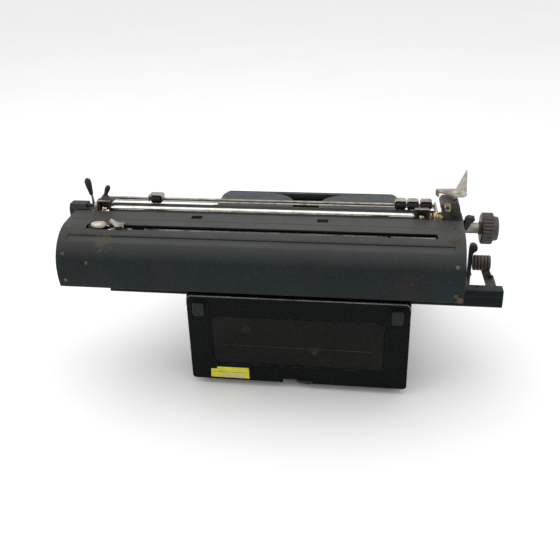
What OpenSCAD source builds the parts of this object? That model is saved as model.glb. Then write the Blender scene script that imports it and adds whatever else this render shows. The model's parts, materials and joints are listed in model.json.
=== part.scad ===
// Wide-carriage manual office typewriter.
// X runs to the typist's right, Y runs to the back of the machine, Z is up, all in millimetres.
// Sizes below are written from the body's own datum: X 0 on the body's centre line, Y 0 on the
// outer face of the rear panel and Z 0 on the desk. place() then moves that datum so that the
// origin of the finished part is the middle of its bounding box, on the desk.

/* [Body] */
// Width of the body over the side panels
body_w = 300; // [280:1:330]
// Depth of the body from the rear panel to the front edge
body_d = 350; // [340:1:380]
// Height of the rear panel's top edge above the desk
rear_h = 144; // [138:1:150]
// Height of the rubber feet
foot_h = 12; // [8:1:16]
// Thickness of the sheet panels
wall = 2.5; // [1.5:0.1:4]
// Height of the ribbon cover's top
lid_h = 228; // [222:1:234]
// Width of the ribbon cover
lid_w = 264; // [240:1:268]

/* [Bed] */
// Length of the carriage bed
bed_l = 538; // [500:1:600]
// Depth of the carriage bed, front to back
bed_d = 67.5; // [60:0.5:70]
// Height of the bed's top face
bed_top = 161; // [158:0.5:163]

/* [Carriage] */
// Length of the rear cover
cover_l = 510; // [480:1:560]
// Distance of the carriage to the right of the body's centre
carriage_x = 47; // [-60:1:80]
// Travel of the carriage to each side of the body's centre
travel = 190; // [120:1:200]
// Radius of the rear cover's large bend
cover_r = 50; // [44:1:54]
// Thickness of the rear cover's sheet
sheet = 1.6; // [1:0.1:2.4]
// Radius of the platen
platen_r = 21; // [18:0.5:22]
// Length of the platen's rubber
platen_l = 440; // [400:1:452]
// Width of the long slot in the rear cover
slot_w = 8; // [6:0.5:10]
// Radius of the platen knob
knob_r = 20.5; // [18:0.5:24]
// Radius of the paper bail's rubber rollers
bail_roller_r = 6.5; // [5:0.5:9]

/* [Keyboard] */
// Distance between neighbouring keys in a row
key_pitch = 19.05; // [18:0.05:19.5]
// Side of a key top
key_w = 14.6; // [12:0.1:15]
// Number of keys in each of the four rows
keys_per_row = 11; // [9:1:11]
// Number of typebars to each side of the middle one
side_bars = 20; // [10:1:20]

/* [Hidden] */
$fn = 48;
gap = 0.3;      // clearance between pieces that only lie beside each other
run = 0.05;     // radial clearance of a running fit

// ---- places worked out from the driving sizes
half_w = body_w/2;
bed_y = -32.5;                          // rear face of the bed
bed_low = bed_top - 34.5;
bed_front = bed_y - bed_d;
bed_end = 64;                           // each end of the bed is only a narrow beam
beam_front = bed_y - 18;
beam_top = bed_top - 9;
rail_h = 5;
rail_l = bed_l - 2*bed_end - 6;
rail_w = 8;
rail_y = [bed_y - 21.5, bed_front + 10];   // centre lines of the rear and the front rail
roll_r = 3;
frame_low = bed_top + rail_h + 2*roll_r;   // underside of the moving carriage
platen_y = -62;
platen_z = frame_low + 56.5;
cover_top = platen_z + 21.5;            // height of the rear cover's front edge
cover_front = platen_y + 29;            // front edge of the rear cover's top
cover_flat = 36;                        // flat stretch before the large bend
cover_tilt = 4;                         // slope of the flat stretch, in degrees
cover_low_r = 90;
cover_low_a = 15;
bend_y = cover_front + cover_flat*cos(cover_tilt) - cover_r*sin(cover_tilt);
bend_z = cover_top - cover_flat*sin(cover_tilt) - cover_r*cos(cover_tilt);
low_y = bend_y + cover_r - cover_low_r;
cover_back = bend_y + cover_r;          // rearmost line of the cover
cover_low = bend_z - cover_low_r*sin(cover_low_a);
end_w = 23;                             // width of a carriage end casting
end_left = carriage_x - cover_l/2 - 2;  // outer face of the left casting
end_over = 9;                           // the right casting reaches this far past the cover
end_right = carriage_x + cover_l/2 + end_over;
platen_left = end_left + end_w + 8;     // left end of the rubber
slot_y = 12;
slot_in = 33;                           // solid length at each end of the cover's slot
x_min = -bed_l/2;
x_max = end_right;
centre_x = (x_min + x_max)/2;
centre_y = (cover_back - body_d)/2;
apron_y = -body_d + 104;                // rear edge of the keyboard's opening
apron_z = 128;
apron_front_z = 56;
apron_slope = (apron_z - apron_front_z)/98;
hood_y = -183;                          // top rear edge of the hood
print_y = platen_y - platen_r - 1;      // printing point
print_z = platen_z;
bar_r = 66;                             // radius of the typebars' pivots about the segment's centre
pivot_y = print_y - 36;                 // the middle typebar's pivot
pivot_z = print_z - 71;
bar_l = sqrt(pow(print_y - pivot_y, 2) + pow(print_z - pivot_z, 2));
bar_reach = sqrt(bar_l*bar_l - bar_r*bar_r);
seg_a = atan2(bar_reach, bar_r) - asin((print_y - pivot_y)/bar_l);   // lean of the segment
seg_y = print_y - bar_reach*cos(seg_a);
seg_z = print_z - bar_reach*sin(seg_a);
bar_step = 48/20;                       // degrees between typebars
bar_droop = 4;                          // resting typebars slope down by this much
lever_y = -44;                          // key lever shaft
lever_z = 44;
lever_r = 2.5;
lever_t = 1.2;
key_y = [for (i = [0:3]) -body_d + 37 + 19*i];
key_z = [for (y = key_y) apron_front_z + (y + body_d - 6)*apron_slope + 10];

module place() translate([-centre_x, -centre_y, 0]) children();
// An outline drawn in the Y-Z plane, swept along X from x0 to x1
module sweep_x(x0, x1) translate([x0, 0, 0]) rotate([90, 0, 90]) linear_extrude(x1 - x0) children();
module block(x, y, z) translate([x[0], y[0], z[0]]) cube([x[1] - x[0], y[1] - y[0], z[1] - z[0]]);
module sweep_y(y0, y1) translate([0, y1, 0]) rotate([90, 0, 0]) linear_extrude(y1 - y0) children();
module rod_x(x0, x1, y, z, r) translate([x0, y, z]) rotate([0, 90, 0]) cylinder(r = r, h = x1 - x0);
module rod_y(y0, y1, x, z, r) translate([x, y1, z]) rotate([90, 0, 0]) cylinder(r = r, h = y1 - y0);
module soft_rect(w, h, r) {
    square([w - 2*r, h], center = true);
    square([w, h - 2*r], center = true);
    for (sx = [-1, 1], sy = [-1, 1]) translate([sx*(w/2 - r), sy*(h/2 - r)]) circle(r);
}
// A rounded plate standing in the X-Z plane, its faces at y0 and y1
module wall_plate(w, h, r, y0, y1, x = 0, z = 0)
    translate([x, y1, z]) rotate([90, 0, 0]) linear_extrude(y1 - y0) soft_rect(w, h, r);
function arc(cy, cz, r, a0, a1, n) =
    [for (i = [0:n]) [cy + r*cos(a0 + (a1 - a0)*i/n), cz + r*sin(a0 + (a1 - a0)*i/n)]];
// The rear cover's profile, moved inwards by d
function cover_line(d) = concat(
    [[cover_front - d*sin(cover_tilt), cover_top - d*cos(cover_tilt)]],
    arc(bend_y, bend_z, cover_r - d, 90 - cover_tilt, 0, 24),
    arc(low_y, bend_z, cover_low_r - d, 0, -cover_low_a, 6));
function backwards(p) = [for (i = [len(p) - 1:-1:0]) p[i]];

// ---------------------------------------------------------------- frame and feet
frame_x = half_w - wall - gap;
inner = frame_x - 10;                   // inner faces of the side members
drum_x = -100;
drum_z = 100;
drum_r = 22;
guide_x = 66;                           // pins that guide the type basket
guide_y = -115;
guide_r = 3;
module base_frame() color([0.10, 0.11, 0.11]) place() {
    difference() {
        for (s = [-1, 1]) {
            x = s > 0 ? [inner, frame_x] : [-frame_x, -inner];
            block(x, [-body_d + 8, -wall - gap], [foot_h, foot_h + 26]);
            block(x, [bed_front + 2, bed_y - 2], [foot_h + 26, bed_low]);
        }
        rod_x(-inner - 6, inner + 6, lever_y, lever_z, lever_r);
    }
    block([-inner, inner], [-22, -8], [foot_h, foot_h + 18]);
    block([-inner, inner], [-body_d + 10, -body_d + 22], [foot_h, foot_h + 12]);
    block([-inner, inner], [-206, -196], [foot_h, foot_h + 12]);
    for (s = [-1, 1])       // struts that carry the type basket and its guide pins
        block(s > 0 ? [inner - 8, inner] : [-inner, -inner + 8], [-120, -112], [foot_h + 20, 120]);
    block([-inner, inner], [-120, -110], [120, 126]);
    for (s = [-1, 1]) translate([s*guide_x, guide_y, 125]) cylinder(r = guide_r, h = 70);
    for (x = [drum_x, -drum_x]) {       // posts for the spring drum and the bell
        block([x - 6, x + 6], [-13, -9], [foot_h + 17, drum_z + 8]);
        rod_y(-31, -12, x, drum_z, 4);
    }
}

module rubber_feet() color([0.03, 0.03, 0.03]) place()
    for (sx = [-1, 1], y = [-34, -body_d + 34])
        translate([sx*(frame_x - 14), y, 0]) cylinder(r1 = 12, r2 = 14, h = foot_h);

// ---------------------------------------------------------------- body panels
side_top = 203;
module side_outline() polygon([
    [-wall - gap, foot_h], [-wall - gap, rear_h], [bed_y + 1, rear_h], [bed_y + 1, bed_low - gap],
    [bed_front - 1.5, bed_low - gap], [bed_front - 1.5, side_top - 5], [bed_front - 6.5, side_top],
    [hood_y - 7, side_top], [apron_y - 2, apron_z + 4], [-body_d + 6, apron_front_z + 3],
    [-body_d, apron_front_z - 5], [-body_d, foot_h]]);
module side_panel(s) {
    sweep_x(s > 0 ? half_w - wall : -half_w, s > 0 ? half_w : -half_w + wall) side_outline();
    // the top edge is turned in towards the ribbon cover
    lip = lid_w/2 + 2;
    sweep_x(s > 0 ? lip : -half_w + wall, s > 0 ? half_w - wall : -lip) polygon([
        [bed_front - 6.5, side_top], [hood_y - 7, side_top], [apron_y - 2, apron_z + 4],
        [apron_y - 1, apron_z + 1], [hood_y - 6, side_top - wall], [bed_front - 6.5, side_top - wall]]);
}
module left_side_panel() color([0.06, 0.07, 0.07]) place() side_panel(-1);
module right_side_panel() color([0.06, 0.07, 0.07]) place() side_panel(1);

panel_mid = (foot_h + rear_h)/2;
bumper_x = half_w - 17;
bumper_z = rear_h - 18.5;
module rear_panel() color([0.04, 0.05, 0.05]) place() difference() {
    union() {
        wall_plate(body_w, rear_h - foot_h, 5, -wall, 0, 0, panel_mid);
        block([-frame_x, frame_x], [bed_y + 2, -wall], [rear_h - wall, rear_h]);
        for (s = [-1, 1]) wall_plate(28, 37, 9, -wall, 1, s*bumper_x, rear_h - 24);
    }
    wall_plate(235.4, 75.2, 9, -1.2, 2, 0, panel_mid - 1.6);            // pressed field
    wall_plate(202, 1, 0.4, -1.7, 2, 0, panel_mid - 9.3);               // pressed line
    block([-20.4, 20.4], [-wall - 1, 2], [foot_h - 1, foot_h + 6.7]);   // hand notch
}
module rear_bumpers() color([0.03, 0.03, 0.03]) place()
    for (s = [-1, 1]) wall_plate(16.5, 21.5, 4, 1 + 0.01, 6, s*bumper_x, bumper_z);

apron_x = half_w - wall - gap;
module front_apron() color([0.06, 0.07, 0.07]) place() difference() {
    sweep_x(-apron_x, apron_x) polygon([
        [apron_y, apron_z], [-body_d + 6, apron_front_z], [-body_d, apron_front_z - 8],
        [-body_d, foot_h], [-body_d + wall, foot_h], [-body_d + wall, apron_front_z - 9],
        [-body_d + 7, apron_front_z - 3], [apron_y, apron_z - 3]]);
    block([-half_w + 12, half_w - 12], [-body_d + 8.5, apron_y + 1], [apron_front_z - 6, apron_z + 9]);
}

hood_x = lid_w/2 - gap;
hood_low_y = key_y[3] + key_w/2 + 1.5;  // lower edge, behind the rear row of keys
module front_hood() color([0.03, 0.03, 0.03]) place() difference() {
    sweep_x(-hood_x, hood_x) polygon([[hood_y, lid_h], [hood_y - 4, lid_h - 1],
        [hood_low_y, apron_z + 13], [hood_low_y, apron_z + 6], [hood_y, side_top + 4]]);
    sweep_x(-hood_x + wall, hood_x - wall) polygon([[hood_y + 1, lid_h - 1.4], [hood_y - 3, lid_h - 5],
        [hood_low_y + 3, apron_z + 13], [hood_low_y + 3, apron_z + 1], [hood_y + 1, side_top - 10]]);
}

// The typebars rise through a fan-shaped opening: a throat that flares out in two quarter circles
lid_rear = bed_front + 2;
throat_w = 37;
throat_y = -136;
flare_r = 41;
module ribbon_cover() color([0.10, 0.11, 0.11]) place() {
    translate([0, 0, lid_h - 2.2]) linear_extrude(2.2) difference() {
        translate([0, (hood_y + 0.5 + lid_rear)/2])
            soft_rect(lid_w, lid_rear - hood_y - 0.5, 12);
        translate([-throat_w/2, throat_y]) square([throat_w, lid_rear - throat_y + 1]);
        difference() {
            translate([-throat_w/2 - flare_r, throat_y - flare_r])
                square([throat_w + 2*flare_r, flare_r]);
            for (s = [-1, 1]) translate([s*(throat_w/2 + flare_r), throat_y]) circle(flare_r);
        }
    }
    for (s = [-1, 1]) {
        x = s > 0 ? [lid_w/2 - 2.2, lid_w/2] : [-lid_w/2, -lid_w/2 + 2.2];
        block(x, [hood_y + 15, lid_rear - 12], [side_top + 2, lid_h - 2.2]);
        rod_x(s*(lid_w/2 - 20) - 8, s*(lid_w/2 - 20) + 8, lid_rear - 3, lid_h - 4.7, 2.5);
    }
}

// ---------------------------------------------------------------- bed
module bed_outline() polygon([
    [bed_y, bed_low + 3], [bed_y, bed_top - 18], [bed_y - 0.8, bed_top - 17.2],
    [bed_y - 0.8, bed_top - 8.5], [bed_y - 9, bed_top], [bed_front + 5, bed_top],
    [bed_front, bed_top - 5], [bed_front, bed_low], [bed_y - 3, bed_low]]);
module carriage_bed() color([0.05, 0.06, 0.06]) place() {
    difference() {
        sweep_x(-bed_l/2, bed_l/2) bed_outline();
        block([-bed_l/2 + bed_end + 5, bed_l/2 - bed_end - 5], [bed_front + 11, bed_y - 6],
            [bed_low + 6, bed_top - 9]);
        for (x = [[-bed_l/2 - 1, bed_end - bed_l/2], [bed_l/2 - bed_end, bed_l/2 + 1]]) {
            block(x, [bed_front - 1, beam_front], [bed_low - 1, bed_top + 1]);
            block(x, [beam_front - 1, bed_y + 1], [beam_top, bed_top + 1]);
        }
        for (s = [-1, 1])
            translate([s*(bed_l/2 - 32), bed_y - 12, beam_top - 12]) cylinder(r = 2.2, h = 20);
        // notch for the pinion, and the bore of its pin
        block([-pinion_r - 2, pinion_r + 2], [bed_front - 1, rack_y[1] + 0.5],
            [wheel_z - pinion_r - 2, bed_top + 1]);
        rod_y(bed_front + 2, bed_front + 8, 0, wheel_z, wheel_pin_r + run);
    }
}
module bed_rails() color([0.6, 0.6, 0.6]) place() for (y = rail_y)
    block([-rail_l/2, rail_l/2], [y - rail_w/2, y + rail_w/2], [bed_top, bed_top + rail_h]);

// The rollers' cage runs at half the carriage's speed
cage_l = rail_l - 10 - travel;
cage_rolls = 5;
cage_t = 1.5;
module roller_cage() color([0.55, 0.5, 0.4]) place() translate([carriage_x/2, 0, 0]) for (y = rail_y) {
    rail_top = bed_top + rail_h;
    for (i = [0:cage_rolls - 1])
        rod_y(y - 3, y + 3, (cage_l - 30)*(i/(cage_rolls - 1) - 0.5), rail_top + roll_r, roll_r - run);
    for (y0 = [y - 3.01 - cage_t, y + 3.01])
        block([-cage_l/2, cage_l/2], [y0, y0 + cage_t], [rail_top + 1.5, rail_top + 4.5]);
}

// Bracket, banded buffer and lock lever at the bed's left end, in front of its narrow beam
stop_x = -bed_l/2 + 8;
stop_y = bed_front - 15;
stop_z = bed_top - 6.5;
stop_r = 11;
stop_l = 24;
pin_r = 2.5;
lock_x = stop_x + stop_l + 1.5;
lock_z = bed_low + 9;
module stop_bracket() color([0.16, 0.15, 0.13]) place() {
    block([stop_x - 7, lock_x + 13], [beam_front - 5, beam_front - 0.02], [bed_low + 1, bed_low + 18]);
    block([stop_x - 7, stop_x + 6], [stop_y - 4, beam_front - 4], [bed_low + 1, bed_low + 8]);
    difference() {
        sweep_y(stop_y - 4, stop_y + 6) polygon([
            [stop_x - 7, bed_low + 2], [stop_x + 6, bed_low + 2], [stop_x + 14, stop_z - 6],
            [stop_x + 1, stop_z - 6]]);
        rod_x(stop_x - 1, stop_x + stop_l, stop_y, stop_z, stop_r + 0.02);
    }
    block([lock_x + 7, lock_x + 13], [stop_y - 5, beam_front - 4], [lock_z - 6, lock_z + 6]);
    rod_x(lock_x - 1, lock_x + 8, stop_y, lock_z, pin_r);
}
module stop_buffer() color([0.14, 0.11, 0.09]) place()
    rod_x(stop_x, stop_x + stop_l, stop_y, stop_z, stop_r);
module bed_lock_lever() color([0.06, 0.08, 0.08]) place() difference() {
    union() {
        sweep_x(lock_x, lock_x + 5) polygon([
            [stop_y - 5, bed_low + 2], [stop_y + 5, bed_low + 2], [stop_y + 6, stop_z],
            [stop_y + 5, stop_z + 24], [stop_y - 5, stop_z + 24], [stop_y - 6, stop_z]]);
        rod_x(lock_x - 6, lock_x + 5, stop_y, stop_z + 24, 5);
    }
    rod_x(lock_x - 4, lock_x + 7, stop_y, lock_z, pin_r + run);
}

// ---------------------------------------------------------------- escapement, drum and bell
pinion_teeth = 16;
pinion_r = 12;                          // pitch radius
tooth = 2*PI*pinion_r/pinion_teeth;     // pitch of the pinion's and the rack's teeth
rack_z = frame_low - 2;                 // pitch line of the rack
rack_y = [bed_front - 1, bed_front + 2.5];
wheel_z = rack_z - pinion_r - 0.15;
wheel_pin_r = 2.5;
tooth_h = 1.2;
module tooth_2d(root, tip, half)
    polygon([[-half, root], [-half*0.45, tip], [half*0.45, tip], [half, root]]);
module escapement_wheel() color([0.62, 0.6, 0.55]) place() translate([0, 0, wheel_z]) {
    sweep_y(rack_y[0], rack_y[1]) {
        circle(pinion_r - tooth_h);
        for (i = [0:pinion_teeth - 1]) rotate(i*360/pinion_teeth)
            tooth_2d(pinion_r - tooth_h - 0.4, pinion_r + tooth_h, 0.24*tooth);
    }
    sweep_y(rack_y[0] - 3, rack_y[0]) {
        circle(17);
        for (i = [0:31]) rotate(i*360/32) translate([0, 16.5]) square([1.6, 5], center = true);
    }
    rod_y(rack_y[1] - 1, bed_front + 7, 0, 0, wheel_pin_r);
}
rack_l = cover_l - 2*end_w - 30;
module escapement_rack() color([0.5, 0.49, 0.46]) place() {
    n = floor(rack_l/tooth/2);
    base = carriage_x - floor(carriage_x/tooth)*tooth;      // keeps the teeth in step with the pinion
    sweep_y(rack_y[0], rack_y[1]) difference() {
        translate([carriage_x - n*tooth, rack_z - tooth_h]) square([2*n*tooth, tooth_h + 6]);
        for (i = [-n - 1:n + 1]) translate([carriage_x + i*tooth - base, rack_z])
            polygon([[-0.15*tooth, tooth_h + 0.5], [-0.37*tooth, -tooth_h - 1],
                [0.37*tooth, -tooth_h - 1], [0.15*tooth, tooth_h + 0.5]]);
    }
    for (s = [-1, 1]) block([carriage_x + s*n*tooth*0.8 - 6, carriage_x + s*n*tooth*0.8 + 6],
        [rack_y[0], rail_y[1] - rail_w/2 - 2], [rack_z + tooth_h + 0.8, frame_low + 6]);
}
module spring_drum() color([0.3, 0.29, 0.27]) place() difference() {
    union() {
        rod_y(-29, -15, drum_x, drum_z, drum_r);
        rod_y(-30.5, -29, drum_x, drum_z, drum_r + 1.5);
        rod_y(-15, -14, drum_x, drum_z, drum_r + 1.5);
    }
    rod_y(-40, -5, drum_x, drum_z, 4 + run);
    for (i = [0:5]) rotate_y_at(drum_x, drum_z, i*60) rod_y(-40, -5, 13, 0, 4);
}
module rotate_y_at(x, z, a) translate([x, 0, z]) rotate([0, -a, 0]) children();
bell_r = 20;
bell_h = 13;
bell_t = 1.4;
bell_rim = -14.5;                       // depth of the rim below the crown's nut
module bell() color([0.62, 0.6, 0.52]) place() translate([-drum_x, -31.3, drum_z]) rotate([90, 0, 0])
    rotate_extrude() polygon(concat(
        [[4, -3], [4, -1.5]],
        [for (a = [90:-10:0]) [bell_r*cos(a) + 0.1, bell_h*sin(a) + bell_rim]],
        [[bell_r + 2, bell_rim - 0.5], [bell_r + 2, bell_rim - 1.5], [bell_r + 0.6, bell_rim - 1.5]],
        [for (a = [0:10:80]) [(bell_r - bell_t)*cos(a), (bell_h - bell_t)*sin(a) + bell_rim]]));

// ---------------------------------------------------------------- type basket
seg_in = bar_r - 8;
seg_out = bar_r + 8;
seg_half = side_bars*bar_step + 4;
seg_t = 10;
bar_t = 1.6;
slot_t = bar_t + 0.4;
wire_r = 1;
module on_segment() translate([0, seg_y, seg_z]) rotate([seg_a, 0, 0]) children();
module segment() color([0.55, 0.55, 0.53]) place() {
    on_segment() {
        difference() {
            sweep_y(-seg_t/2, seg_t/2) intersection() {
                difference() {
                    circle(seg_out, $fn = 120);
                    circle(seg_in, $fn = 120);
                }
                polygon([[0, 0], [-150*sin(seg_half), -150*cos(seg_half)], [0, -150],
                    [150*sin(seg_half), -150*cos(seg_half)]]);
            }
            for (i = [-side_bars:side_bars]) rotate([0, i*bar_step, 0])
                block([-slot_t/2, slot_t/2], [-seg_t, seg_t], [-bar_r - 6, -seg_in + 2]);
        }
        rotate([90, 0, 0]) rotate([0, 0, -90 - seg_half + 1])
            rotate_extrude(angle = 2*seg_half - 2, $fn = 120)
                translate([bar_r, 0]) circle(wire_r, $fn = 16);
    }
    for (s = [-1, 1]) difference() {
        block(s > 0 ? [guide_x - 11, guide_x + 7] : [-guide_x - 7, -guide_x + 11],
            [guide_y - 7, guide_y + 6], [170, 180]);
        translate([s*guide_x, guide_y, 160]) cylinder(r = guide_r + run, h = 40);
        on_segment() rod_y(-20, 20, 0, 0, seg_out - 1);
    }
}
module typebar() rotate([0, -90, 0]) translate([0, 0, -bar_t/2]) linear_extrude(bar_t) difference() {
    union() {
        polygon([[-2, 5], [-2.6, 0], [-1.4, 8 - bar_l], [1.2, 8 - bar_l], [2.6, 0], [2, 5]]);
        circle(3);
        translate([-3, -bar_l]) square([3.6, 9]);
    }
    circle(wire_r + run, $fn = 24);
}
module typebar_at(i) on_segment() rotate([0, i*bar_step, 0]) translate([0, 0, -bar_r])
    rotate([bar_droop, 0, 0]) typebar();
module typebars() color([0.6, 0.6, 0.58]) place()
    for (i = [-side_bars:side_bars]) if (i != 0) typebar_at(i);
module middle_typebar() color([0.6, 0.6, 0.58]) place() typebar_at(0);

// Fork that steers each typebar to the printing point, on arms from the bed's front face
module type_guide() color([0.5, 0.5, 0.48]) place() {
    for (s = [-1, 1]) {
        block(s > 0 ? [1.6, 9] : [-9, -1.6], [print_y - 10, print_y - 7], [print_z - 22, print_z - 11]);
        block(s > 0 ? [9, 12] : [-12, -9], [print_y - 11, print_y - 7], [print_z - 40, print_z - 11]);
        block(s > 0 ? [9, 30] : [-30, -9], [print_y - 16, print_y - 11], [print_z - 40, print_z - 30]);
        block(s > 0 ? [9, 30] : [-30, -9], [print_y - 23, print_y - 16], [print_z - 40, print_z - 30]);
        block(s > 0 ? [24, 30] : [-30, -24], [print_y - 23, print_y - 19], [bed_low + 6, print_z - 30]);
        block(s > 0 ? [24, 30] : [-30, -24], [print_y - 23, bed_front - 0.02],
            [bed_low + 6, bed_low + 18]);
    }
}
vibrator_y = [print_y - 6.5, print_y - 5.5];
module ribbon_vibrator() color([0.6, 0.6, 0.58]) place() {
    for (s = [-1, 1]) {
        block(s > 0 ? [3.5, 15] : [-15, -3.5], vibrator_y, [print_z - 13, print_z - 3]);
        block(s > 0 ? [13, 15] : [-15, -13], vibrator_y, [print_z - 34, print_z - 13]);
    }
    block([-15, 15], vibrator_y, [print_z - 38, print_z - 34]);
}

// ---------------------------------------------------------------- ribbon spools
spool_r = 26;
spool_x = 78;
spool_y = -134;
cup_r = spool_r + 4.5;
cup_z = 203;
spool_pin_r = 3;
module ribbon_cups() color([0.08, 0.09, 0.09]) place()
for (s = [-1, 1]) translate([s*spool_x, spool_y, 0]) {
    difference() {
        translate([0, 0, cup_z]) cylinder(r = cup_r, h = 17);
        translate([0, 0, cup_z + 1.5]) cylinder(r = cup_r - 1.5, h = 20);
        translate([-s*cup_r, cup_r - 14, cup_z + 10]) cube([16, 16, 16], center = true);
    }
    translate([0, 0, cup_z + 1]) cylinder(r = spool_pin_r, h = 17);
    translate([s*20 - 4, 16, 126]) cube([8, 6, cup_z - 126]);
}
module ribbon_spool(s) place() translate([s*spool_x, spool_y, cup_z + 2]) difference() {
    union() {
        cylinder(r = spool_r, h = 1);
        cylinder(r = spool_r - 5, h = 14);
        translate([0, 0, 14]) cylinder(r = spool_r, h = 1);
    }
    translate([0, 0, -1]) cylinder(r = spool_pin_r + run, h = 20);
    for (a = [0:90:270]) rotate(a) translate([11, 0, 13]) cylinder(r = 4, h = 5);
}
module ribbon_spool_left() color([0.2, 0.2, 0.2]) ribbon_spool(-1);
module ribbon_spool_right() color([0.2, 0.2, 0.2]) ribbon_spool(1);

// ---------------------------------------------------------------- keyboard
key_top_h = 5;
row_shift = [for (i = [0:3]) (1.5 - i)*key_pitch/4];
key_column = floor((keys_per_row - 1)/2);   // the column on the centre line
middle_row = 1;
key_stem = 3;                           // half the depth of a key's upright stem
function key_x(row, c) = (c - key_column)*key_pitch + row_shift[row];
side_key_x = half_w - 29;
// A lever on the shaft, its stem and its key top; lever_x is the lever's own place along the shaft
module key(x, y, z, w, lever_x) {
    difference() {
        sweep_x(lever_x - lever_t/2, lever_x + lever_t/2) polygon([
            [lever_y + 5, lever_z - 4], [lever_y + 5, lever_z + 4], [y + key_stem, lever_z + 3],
            [y + key_stem, z], [y - key_stem, z], [y - key_stem, lever_z - 4]]);
        rod_x(lever_x - 5, lever_x + 5, lever_y, lever_z, lever_r + run);
    }
    translate([x, y, z]) linear_extrude(key_top_h) soft_rect(w, key_w, 4);
}
module key_lever_shaft() color([0.6, 0.6, 0.6]) place()
    rod_x(-inner - 5, inner + 5, lever_y, lever_z, lever_r);
module key_row(row) color([0.04, 0.04, 0.04]) place() for (c = [0:keys_per_row - 1])
    if (row != middle_row || c != key_column) let (x = key_x(row, c))
        key(x, key_y[row], key_z[row], key_w, x);
module key_row_1() key_row(0);
module key_row_2() key_row(1);
module key_row_3() key_row(2);
module key_row_4() key_row(3);
module middle_key() color([0.04, 0.04, 0.04]) place() let (x = key_x(middle_row, key_column))
    key(x, key_y[middle_row], key_z[middle_row], key_w, x);
module shift_keys() color([0.04, 0.04, 0.04]) place()
    for (s = [-1, 1]) key(s*side_key_x, key_y[0], key_z[0], key_w + 7, s*(side_key_x - 3));
module shift_lock_key() color([0.04, 0.04, 0.04]) place()
    key(-side_key_x, key_y[1], key_z[1], key_w + 1, -side_key_x);
module tab_key() color([0.04, 0.04, 0.04]) place()
    key(-side_key_x, key_y[3], key_z[3], key_w + 1, -side_key_x - 3);
module backspace_key() color([0.04, 0.04, 0.04]) place()
    key(side_key_x, key_y[3], key_z[3], key_w + 1, side_key_x + 1);
space_y = -body_d + 18;
space_z = key_z[0] - 15;
space_l = 124;
module space_bar() color([0.04, 0.04, 0.04]) place() {
    for (s = [-1, 1]) key(s*3*key_pitch, space_y, space_z, key_w - 4, s*3*key_pitch);
    translate([0, space_y, space_z]) linear_extrude(key_top_h + 1) soft_rect(space_l, key_w - 2, 5);
}

// ---------------------------------------------------------------- carriage
end_inner_l = end_left + end_w;
end_inner_r = end_right - end_w;
end_back = cover_front - 1.2;
end_front = bed_front + 2;
horn_z = platen_z + 17;
shaft_r = 4;
feed_r = 8;
feed_l = 60;
feed_y = [platen_y - 18, platen_y + 18];
feed_z = platen_z - sqrt(pow(platen_r + feed_r + gap, 2) - 18*18);
feed_pin_r = 2.5;
bail_pin = [-43, platen_z + 24.5];      // Y and Z of the paper bail's hinge
bail_y = platen_y - 13;
bail_z = platen_z + sqrt(pow(platen_r + bail_roller_r + gap, 2) - 13*13);
bail_pin_r = 2.5;
release_pin = [-52, platen_z + 10];      // Y and Z of the paper release lever's hinge
release_pin_r = 3;
module carriage_frame() color([0.12, 0.13, 0.13]) place() {
    for (y = rail_y) block([end_inner_l, end_inner_r], [y - 6, y + 6], [frame_low, frame_low + 9]);
    for (i = [-2:2]) block([carriage_x + 4 + i*98 - 7, carriage_x + 4 + i*98 + 7],
        [rail_y[1] + 6, rail_y[0] - 6], [frame_low + 2, frame_low + 8]);
}
module end_bores() {
    rod_x(end_left - 50, end_right + 50, platen_y, platen_z, shaft_r + run);
    for (y = feed_y) rod_x(end_inner_l - 6, end_inner_r + 6, y, feed_z, feed_pin_r + run);
}
module carriage_end_left() color([0.26, 0.29, 0.28]) place() difference() {
    union() {
        sweep_x(end_left, end_inner_l) polygon([
            [end_front, frame_low], [end_front, frame_low + 42], [end_front + 7, horn_z - 16],
            [end_front + 20, horn_z - 3], [end_front + 28, horn_z], [end_back - 8, horn_z],
            [end_back - 2, horn_z - 3], [end_back, horn_z - 9], [end_back, frame_low]]);
        // the horn leans inwards over the ratchet wheel
        sweep_y(-66, end_back - 1) polygon([[end_left, horn_z - 10], [end_inner_l, horn_z - 10],
            [end_inner_l, horn_z + 2.5], [end_left + 31, horn_z + 21], [end_left + 28, horn_z + 26],
            [end_left + 10, horn_z + 27], [end_left + 7, horn_z + 22]]);
        rod_x(end_left + 20, end_left + 37.5, bail_pin[0], bail_pin[1], bail_pin_r);
    }
    end_bores();
    translate([lever_pin[0], lever_pin[1], horn_z]) cylinder(r = 3 + run, h = 40);
}
module carriage_end_right() color([0.04, 0.04, 0.04]) place() {
    difference() {
        sweep_x(end_inner_r, end_right) polygon([
            [end_front, frame_low], [end_front, frame_low + 42], [end_front + 8, horn_z - 18],
            [end_front + 42, horn_z], [end_back - 17, horn_z + 11], [end_back - 4, horn_z + 11],
            [end_back, horn_z + 5], [end_back, frame_low]]);
        end_bores();
    }
    rod_x(end_inner_r - 10, end_inner_r + 1, release_pin[0], release_pin[1], release_pin_r);
    rod_x(end_inner_r - 15.5, end_inner_r + 1, bail_pin[0], bail_pin[1], bail_pin_r);
}
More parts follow.
